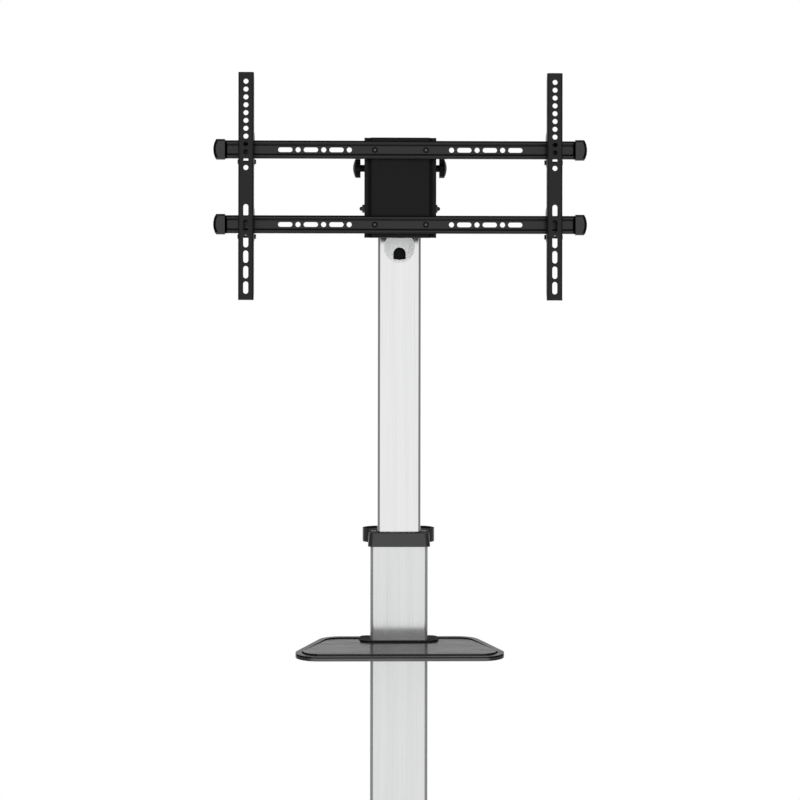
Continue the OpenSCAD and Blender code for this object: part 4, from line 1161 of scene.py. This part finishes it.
@dataclass
class Column(SubAssembly):
    """The sliding tube with its cap, grommet, guide and bracket.

    Attributes:
        flat: How squarely a face of the grommet has to look ahead to stay free of the painted
            shade.
    """

    body: str = "column"
    soft: dict[str, tuple[Finish, float]] = field(
        default_factory=lambda: {
            "upper_column": (ALUMINIUM, 0.0004),
            "column_cap": (MOULDED, 0.0008),
            "cable_grommet": (SILVER, 0.0006),
            "column_bracket": (POWDER, 0.0006),
        }
    )
    plain: dict[str, Finish] = field(
        default_factory=lambda: {
            "bottom_guide": NYLON,
            "bracket_bolts": OXIDE,
            "pivot_bolts": OXIDE,
        }
    )
    flat: float = 0.96

    def fit(self) -> None:
        """Paints shade on the inside of the tube and on the steps of the grommet's rings."""

        def at_step(face: bmesh.types.BMFace) -> bool:
            """Says whether a face turns away from the front."""
            return abs(face.normal.y) < self.flat

        # Painted shade on the tube's inner faces.
        repaint(bpy.data.objects["upper_column_dressed"], SHADED_TUBE_INSIDE, faces_inwards)
        # Painted shade on the step walls of the grommet's rings.
        repaint(bpy.data.objects["cable_grommet_dressed"], SHADED_SILVER_STEP, at_step)


@dataclass
class Tilt(SubAssembly):
    """The tilting frame with its friction disc."""

    body: str = "tilt"
    soft: dict[str, tuple[Finish, float]] = field(
        default_factory=lambda: {"tilt_frame": (POWDER, 0.0006)}
    )
    plain: dict[str, Finish] = field(
        default_factory=lambda: {"friction_disc": NYLON, "tilt_nuts": ZINC}
    )


@dataclass
class Head(SubAssembly):
    """The turning plate with its spindle and both rails.

    Attributes:
        panel_half: Half the width of the plate's raised panel.
        panel_step: How far the panel stands out.
        panel_roll: Radius of its long edges.
        crease: Start, bottom and end of the crease beside it, from the middle.
        crease_depth: How deep the crease is pressed.
        cap_roll: Radius of the caps' domed ends.
        cap_turn: How far a face of a dome turns aside before it takes the painted shade.
        cap_shadow: Length of the painted shadow on a rail beside its cap.
        socket: Depth from which a screw's face belongs to its socket.
        plate_edge: Edge width of the plate.
        cap_edge: Edge width of the caps.
        rail_edge: Edge width of the rails.
        screw_edge: Edge width of the rails' screws.
    """

    body: str = "head"
    plain: dict[str, Finish] = field(
        default_factory=lambda: {"spindle": ZINC, "spindle_nut": ZINC}
    )
    panel_half: float = 0.059
    panel_step: float = 0.005
    panel_roll: float = 0.004
    crease: tuple[float, float, float] = (0.0592, 0.0622, 0.0652)
    crease_depth: float = 0.0015
    cap_roll: float = 0.006
    cap_turn: float = 0.2
    cap_shadow: float = 0.004
    socket: float = 0.0012
    plate_edge: float = 0.0007
    cap_edge: float = 0.001
    rail_edge: float = 0.0005
    screw_edge: float = 0.0004

    def fit(self) -> None:
        """Adds the plate, the caps, the rails and their screws."""
        self.add_plate()
        self.add_caps()
        self.add_rails()
        self.add_screws()

    def cap_start(self) -> float:
        """Finds how far from the middle the rails' end caps begin."""
        corners = frame["nodes"]["rail_end_caps"].data.vertices
        return min(corner.co.x for corner in corners if corner.co.x > 0)

    def add_plate(self) -> None:
        """Rolls the long edges of the raised panel and presses a crease beside each."""
        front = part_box("head_plate")[0].y

        def at_panel_side(edge: bmesh.types.BMEdge) -> bool:
            """Says whether an edge is a long one of the raised panel."""
            tall = abs(edge.verts[0].co.z - edge.verts[1].co.z) > self.panel_half
            return tall and all(
                abs(abs(corner.co.x) - self.panel_half) < MM and corner.co.y < front + MM
                for corner in edge.verts
            )

        plate = copied("head_plate")
        roll_edges(plate, self.panel_roll, at_panel_side, steps=5)
        cut_across(plate, [side.value * place for side in Side for place in self.crease])
        for corner in plate.data.vertices:
            on_strip = abs(corner.co.y - front - self.panel_step) < NEAR
            if on_strip and abs(abs(corner.co.x) - self.crease[1]) < NEAR:
                corner.co.y += self.crease_depth
        softened("head_plate", POWDER, self.body, self.plate_edge, plate)

    def add_caps(self) -> None:
        """Rounds the domed ends of the caps and paints shade, with less gloss, on their faces
        that turn aside.
        """
        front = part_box("rail_end_caps")[0].y
        outer = self.cap_start() + self.cap_roll

        def at_dome(edge: bmesh.types.BMEdge) -> bool:
            """Says whether an edge bounds the front of a cap's domed end."""
            return all(
                corner.co.y < front + MM and abs(corner.co.x) > outer for corner in edge.verts
            )

        def turned_away(face: bmesh.types.BMFace) -> bool:
            """Says whether a face of the domed end turns aside."""
            aside = abs(face.calc_center_median().x) > outer
            return aside and abs(face.normal.x) > self.cap_turn

        caps = copied("rail_end_caps")
        roll_edges(caps, self.cap_roll, at_dome, steps=6)
        softened("rail_end_caps", CAPPED, self.body, self.cap_edge, caps)
        # Painted shade on the faces of the domes that turn aside.
        repaint(caps, GRIP_AND_SHADE, turned_away)

    def add_rails(self) -> None:
        """Dresses the rails and paints a shadow on them where the caps begin."""
        inner = self.cap_start() - self.cap_shadow

        def by_cap(face: bmesh.types.BMFace) -> bool:
            """Says whether a face of a rail is beside or under a cap."""
            return abs(face.calc_center_median().x) > inner

        for name in ("upper_rail", "lower_rail"):
            rail = copied(name)
            cut_across(rail, (-inner, inner))
            softened(name, RAIL_POWDER, self.body, self.rail_edge, rail)
            # Painted shadow on the rails beside and under the caps.
            repaint(rail, SHADOW, by_cap)

    def add_screws(self) -> None:
        """Dresses the rails' screws, with a painted glint on the floors of their sockets."""
        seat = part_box("rail_screws")[0].y

        def in_socket(face: bmesh.types.BMFace) -> bool:
            """Says whether a face is the floor of a screw's socket."""
            return face.normal.y < -FACING and face.calc_center_median().y > seat + self.socket

        screws = softened("rail_screws", DARK_OXIDE, self.body, self.screw_edge)
        # Painted glint on the floors of the screws' sockets.
        repaint(screws, GLINT_OXIDE, in_socket)


@dataclass
class ScreenArm(SubAssembly):
    """One vertical arm with its cross bolts.

    Attributes:
        side: The side that it hangs on.
    """

    side: Side = Side.LEFT

    def __post_init__(self) -> None:
        """Names the nodes of this side."""
        self.soft = {f"arm_{self.side.word}": (ARM_POWDER, 0.0005)}
        self.plain = {f"arm_bolts_{self.side.word}": OXIDE}


@dataclass
class TiltKnob(SubAssembly):
    """One of the two fluted knobs that clamp the tilt.

    Attributes:
        side: The side that it is on.
    """

    side: Side = Side.LEFT

    def __post_init__(self) -> None:
        """Names the node of this side."""
        self.soft = {f"tilt_knob_{self.side.word}": (GRIP_AND_SHADE, 0.0007)}


@dataclass
class HeightLock(SubAssembly):
    """The knob that clamps the sliding tube."""

    body: str = "height_knob"
    soft: dict[str, tuple[Finish, float]] = field(
        default_factory=lambda: {"lock_knob": (MOULDED, 0.0009)}
    )


@dataclass
class Shelf(SubAssembly):
    """The tray with its bracket and clamp.

    Attributes:
        height: Height of the tray's upright edge.
        groove_from: Where the groove with the painted shade begins, below the edge's top.
        groove_to: Where it ends.
        slope: The steepest normal that an upright face may have along Z.
    """

    body: str = "shelf"
    soft: dict[str, tuple[Finish, float]] = field(
        default_factory=lambda: {
            "shelf": (TRAY, 0.0009),
            "shelf_bracket": (MOULDED, 0.0008),
            "shelf_clamp": (DULL, 0.0008),
        }
    )
    plain: dict[str, Finish] = field(
        default_factory=lambda: {"shelf_clamp_screws": OXIDE, "shelf_screws": OXIDE}
    )
    height: float = 0.009
    groove_from: float = 0.0012
    groove_to: float = 0.0032
    slope: float = 0.8

    def fit(self) -> None:
        """Paints a highlight on the tray's upright edge and shade in its groove, and gives the
        bracket a dull top.
        """
        tray = bpy.data.objects["shelf_dressed"]
        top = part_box("shelf")[0].z + self.height
        groove = (top - self.groove_to, top - self.groove_from)

        def upright(face: bmesh.types.BMFace) -> bool:
            """Says whether a face belongs to the tray's edge."""
            return abs(face.normal.z) < self.slope and face.calc_center_median().z < top

        def in_groove(face: bmesh.types.BMFace) -> bool:
            """Says whether a face of the edge is inside the groove."""
            return upright(face) and groove[0] < face.calc_center_median().z < groove[1]

        # Painted highlight on the tray's upright edge.
        repaint(tray, EDGE, upright)
        # Painted shade in the groove of the tray's edge.
        repaint(tray, SHADOW, in_groove)
        repaint(bpy.data.objects["shelf_bracket_dressed"], DULL, faces_up)


@dataclass
class Caster:
    """One caster: fork, axle, wheel and brake pedal.

    Attributes:
        side: The side of the stand that it is on.
        end: The end of the leg that it is under.
        hub: Radius of the wheel's hub.
        tread_inset: Width of the rim left round the pedal's tread.
        tread_depth: How deep the tread is sunk.
        tread_area: The least area of a face that has a tread, in square metres.
        tread_slope: How far such a face has to look up.
        rolling_edge: Edge width of the fork and the wheel.
        pedal_edge: Edge width of the pedal.
    """

    side: Side
    end: End
    hub: float = 0.028
    tread_inset: float = 0.0025
    tread_depth: float = 0.0007
    tread_area: float = 0.0002
    tread_slope: float = 0.7
    rolling_edge: float = 0.0006
    pedal_edge: float = 0.0005

    @property
    def corner(self) -> str:
        """The caster's place as the nodes spell it."""
        return f"{self.end.word}_{self.side.word}"

    def build(self) -> None:
        """Dresses the caster's nodes, with a grey hub and a sunk tread on the pedal."""
        place, edge = self.corner, self.rolling_edge
        softened(f"fork_{place}", POWDER, f"{place}_fork", edge)
        coat(f"axle_{place}", ZINC)
        wheel = softened(f"wheel_{place}", TYRE, f"{place}_wheel", edge)
        middle = centre(f"wheel_{place}")

        def in_hub(face: bmesh.types.BMFace) -> bool:
            """Says whether a face belongs to the wheel's hub."""
            spoke = face.calc_center_median() - middle
            return math.hypot(spoke.y, spoke.z) < self.hub

        def on_pedal(face: bmesh.types.BMFace) -> bool:
            """Says whether a face of the pedal is trodden on."""
            return face.normal.z > self.tread_slope and face.calc_area() > self.tread_area

        repaint(wheel, COVER, in_hub)
        pedal = copied(f"brake_{place}")
        with editing(pedal):
            pick_faces(pedal, on_pedal)
            bpy.ops.mesh.inset(thickness=self.tread_inset, depth=-self.tread_depth)
        softened(f"brake_{place}", COVER, f"{place}_brake", self.pedal_edge, pedal)


# Studio


@dataclass(frozen=True)
class Softbox:
    """An area lamp that looks at a point of the stand.

    Attributes:
        name: The lamp's name.
        place: Where it hangs.
        target: The point that it looks at.
        size: Its width and height.
        power: Its power in watts.
    """

    name: str
    place: tuple[float, float, float]
    target: tuple[float, float, float]
    size: tuple[float, float]
    power: float

    def hang(self) -> None:
        """Puts the lamp in the scene, where gloss doesn't show it."""
        data = bpy.data.lights.new(self.name, "AREA")
        data.shape = "RECTANGLE"
        data.size, data.size_y = self.size
        data.energy = self.power
        lamp = bpy.data.objects.new(self.name, data)
        bpy.context.scene.collection.objects.link(lamp)
        lamp.location = self.place
        aim = Vector(self.target) - Vector(self.place)
        lamp.rotation_euler = aim.to_track_quat("-Z", "Y").to_euler()
        lamp.visible_glossy = False


@dataclass(frozen=True)
class Studio:
    """Floor, lamps, world and camera.

    Attributes:
        camera_aside: The camera's place along X.
        camera_back: Its distance in front of the column.
        camera_height: Its height.
        camera_turn: Its turn about Z, in radians.
        camera_roll: Its roll, in radians.
        lens: Its focal length, in millimetres.
        sensor: Its sensor's width, in millimetres.
        shift: How far the picture is shifted down, in widths.
        floor_half: Half the floor's width.
        clear_from: Distance from the middle where the floor begins to turn white.
        clear_to: Distance where it is white.
        paper: The floor's colour near the stand.
        ambient: The world's strength as a light.
        flags: What is left of it in gloss at the sides.
        flag_edge: How far aside a flag begins and is full.
        ceiling: What is left of it in gloss overhead.
        ceiling_edge: How high the ceiling begins and is full.
        lamps: The area lamps.
    """

    camera_aside: float = -0.055
    camera_back: float = 3.442
    camera_height: float = 1.3307
    camera_turn: float = -0.0165
    camera_roll: float = -0.0015
    lens: float = 76.12
    sensor: float = 36.0
    shift: float = -0.1
    floor_half: float = 6.0
    clear_from: float = 0.75
    clear_to: float = 1.2
    paper: Colour = (0.9, 0.9, 0.9)
    ambient: float = 0.55
    flags: float = 0.24
    flag_edge: tuple[float, float] = (0.5, 0.75)
    ceiling: float = 0.08
    ceiling_edge: tuple[float, float] = (0.45, 0.8)
    lamps: tuple[Softbox, ...] = (
        Softbox("key", (-2.2, -2.9, 2.8), (0, 0, 1.2), (1.6, 2.2), power=46.0),
        Softbox("fill", (2.5, -2.5, 2.2), (0, 0, 1.1), (1.6, 2.2), power=30.0),
        Softbox("top", (0, -0.4, 3.6), (0, 0, 0.8), (2.4, 2.0), power=34.0),
        Softbox("back", (0.8, 2.4, 3.4), (0, 0, 1.0), (2.4, 1.6), power=30.0),
    )

    def build(self) -> None:
        """Sets up the whole studio."""
        self.lay_floor()
        self.paint_world()
        for lamp in self.lamps:
            lamp.hang()
        self.set_camera()
        bpy.context.scene.view_settings.view_transform = "Standard"

    def lay_floor(self) -> None:
        """Lays a pale floor that keeps the shadow near the stand and is white beyond."""
        deselect()
        bpy.ops.mesh.primitive_plane_add(size=2 * self.floor_half, location=(0, 0, 0))
        floor = bpy.context.object
        floor.name = "floor"
        recipe = Recipe("floor_paper")
        recipe.fix(Roughness=0.9, Specular_IOR_Level=0.1)
        recipe.shader.inputs["Base Color"].default_value = (*self.paper, 1)
        length = recipe.vector("LENGTH", recipe.place()).outputs["Value"]
        fade = recipe.scale(length, (self.clear_from, self.clear_to), (0, 1))
        path = recipe.add("LightPath").outputs
        seen = recipe.math("MAXIMUM", path["Is Camera Ray"], path["Is Glossy Ray"])
        share = recipe.math("MULTIPLY", fade, seen)
        heading = recipe.vector("NORMALIZE", recipe.place((1, 1, 0))).outputs["Vector"]
        aside = recipe.across(heading).outputs["X"]
        white = recipe.add("Emission")
        recipe.link(self.flag_shade(recipe, aside, path), white.inputs["Strength"])
        mix = recipe.add("MixShader")
        recipe.link(share, mix.inputs["Fac"])
        recipe.link(recipe.shader.outputs["BSDF"], mix.inputs[1])
        recipe.link(white.outputs["Emission"], mix.inputs[2])
        output = recipe.tree.nodes["Material Output"]
        recipe.link(mix.outputs["Shader"], output.inputs["Surface"])
        floor.data.materials.append(recipe.material)

    def paint_world(self) -> None:
        """Makes the world white to the eye and in gloss, and softer as a light.

        Dark flags to the left and right and a dark ceiling only show in gloss, where
        they draw the dark edges along the tubes and the plates.
        """
        world = bpy.data.worlds.new("studio")
        bpy.context.scene.world = world
        world.use_nodes = True
        wiring = Wiring(world.node_tree)
        path = wiring.add("LightPath").outputs
        seen = wiring.math("MAXIMUM", path["Is Camera Ray"], path["Is Glossy Ray"])
        clear = wiring.math("MAXIMUM", seen, path["Is Transmission Ray"])
        level = wiring.scale(clear, (0, 1), (self.ambient, 1))
        parts = wiring.across(wiring.add("TexCoord").outputs["Generated"]).outputs
        sides = self.flag_shade(wiring, parts["X"], path)
        raised = wiring.scale(parts["Z"], self.ceiling_edge, (0, 1))
        above = wiring.math("MULTIPLY", raised, path["Is Glossy Ray"])
        top = wiring.scale(above, (0, 1), (1, self.ceiling))
        strength = wiring.math("MULTIPLY", level, wiring.math("MULTIPLY", sides, top))
        background = wiring.tree.nodes["Background"]
        wiring.link(strength, background.inputs["Strength"])
        background.inputs["Color"].default_value = (*WHITE, 1)

    def flag_shade(
        self, wiring: Wiring, aside: bpy.types.NodeSocket, path: bpy.types.NodeOutputs
    ) -> bpy.types.NodeSocket:
        """Darkens the surroundings to the left and right, in gloss alone.

        Args:
            wiring: The tree that is built.
            aside: How far a direction turns to the side, from -1 to 1.
            path: The sockets of the tree's light path node.

        Returns:
            The socket with the share of light that is left.
        """
        turned = wiring.scale(wiring.math("ABSOLUTE", aside), self.flag_edge, (0, 1))
        flag = wiring.math("MULTIPLY", turned, path["Is Glossy Ray"])
        return wiring.scale(flag, (0, 1), (1, self.flags))

    def set_camera(self) -> None:
        """Puts the camera almost level in front of the stand, its picture shifted down."""
        data = bpy.data.cameras.new("camera")
        data.lens = self.lens
        data.sensor_width = self.sensor
        data.shift_y = self.shift
        camera = bpy.data.objects.new("camera", data)
        bpy.context.scene.collection.objects.link(camera)
        camera.location = (self.camera_aside, -self.camera_back, self.camera_height)
        camera.rotation_euler = (math.radians(90), self.camera_roll, self.camera_turn)
        bpy.context.scene.camera = camera


def main() -> None:
    """Builds the studio and dresses the stand, one sub-assembly after another."""
    logging.basicConfig(level=logging.INFO, format="%(name)s: %(message)s")
    Studio().build()
    assemblies: Iterable[SubAssembly | Caster] = [
        Base(),
        Column(),
        Tilt(),
        Head(),
        *(ScreenArm(body=f"{side.word}_arm", side=side) for side in Side),
        *(TiltKnob(body=f"{side.word}_tilt_knob", side=side) for side in Side),
        HeightLock(),
        Shelf(),
        *(Caster(side, end) for side in Side for end in End),
    ]
    for assembly in assemblies:
        assembly.build()


if __name__ == "__main__":
    main()
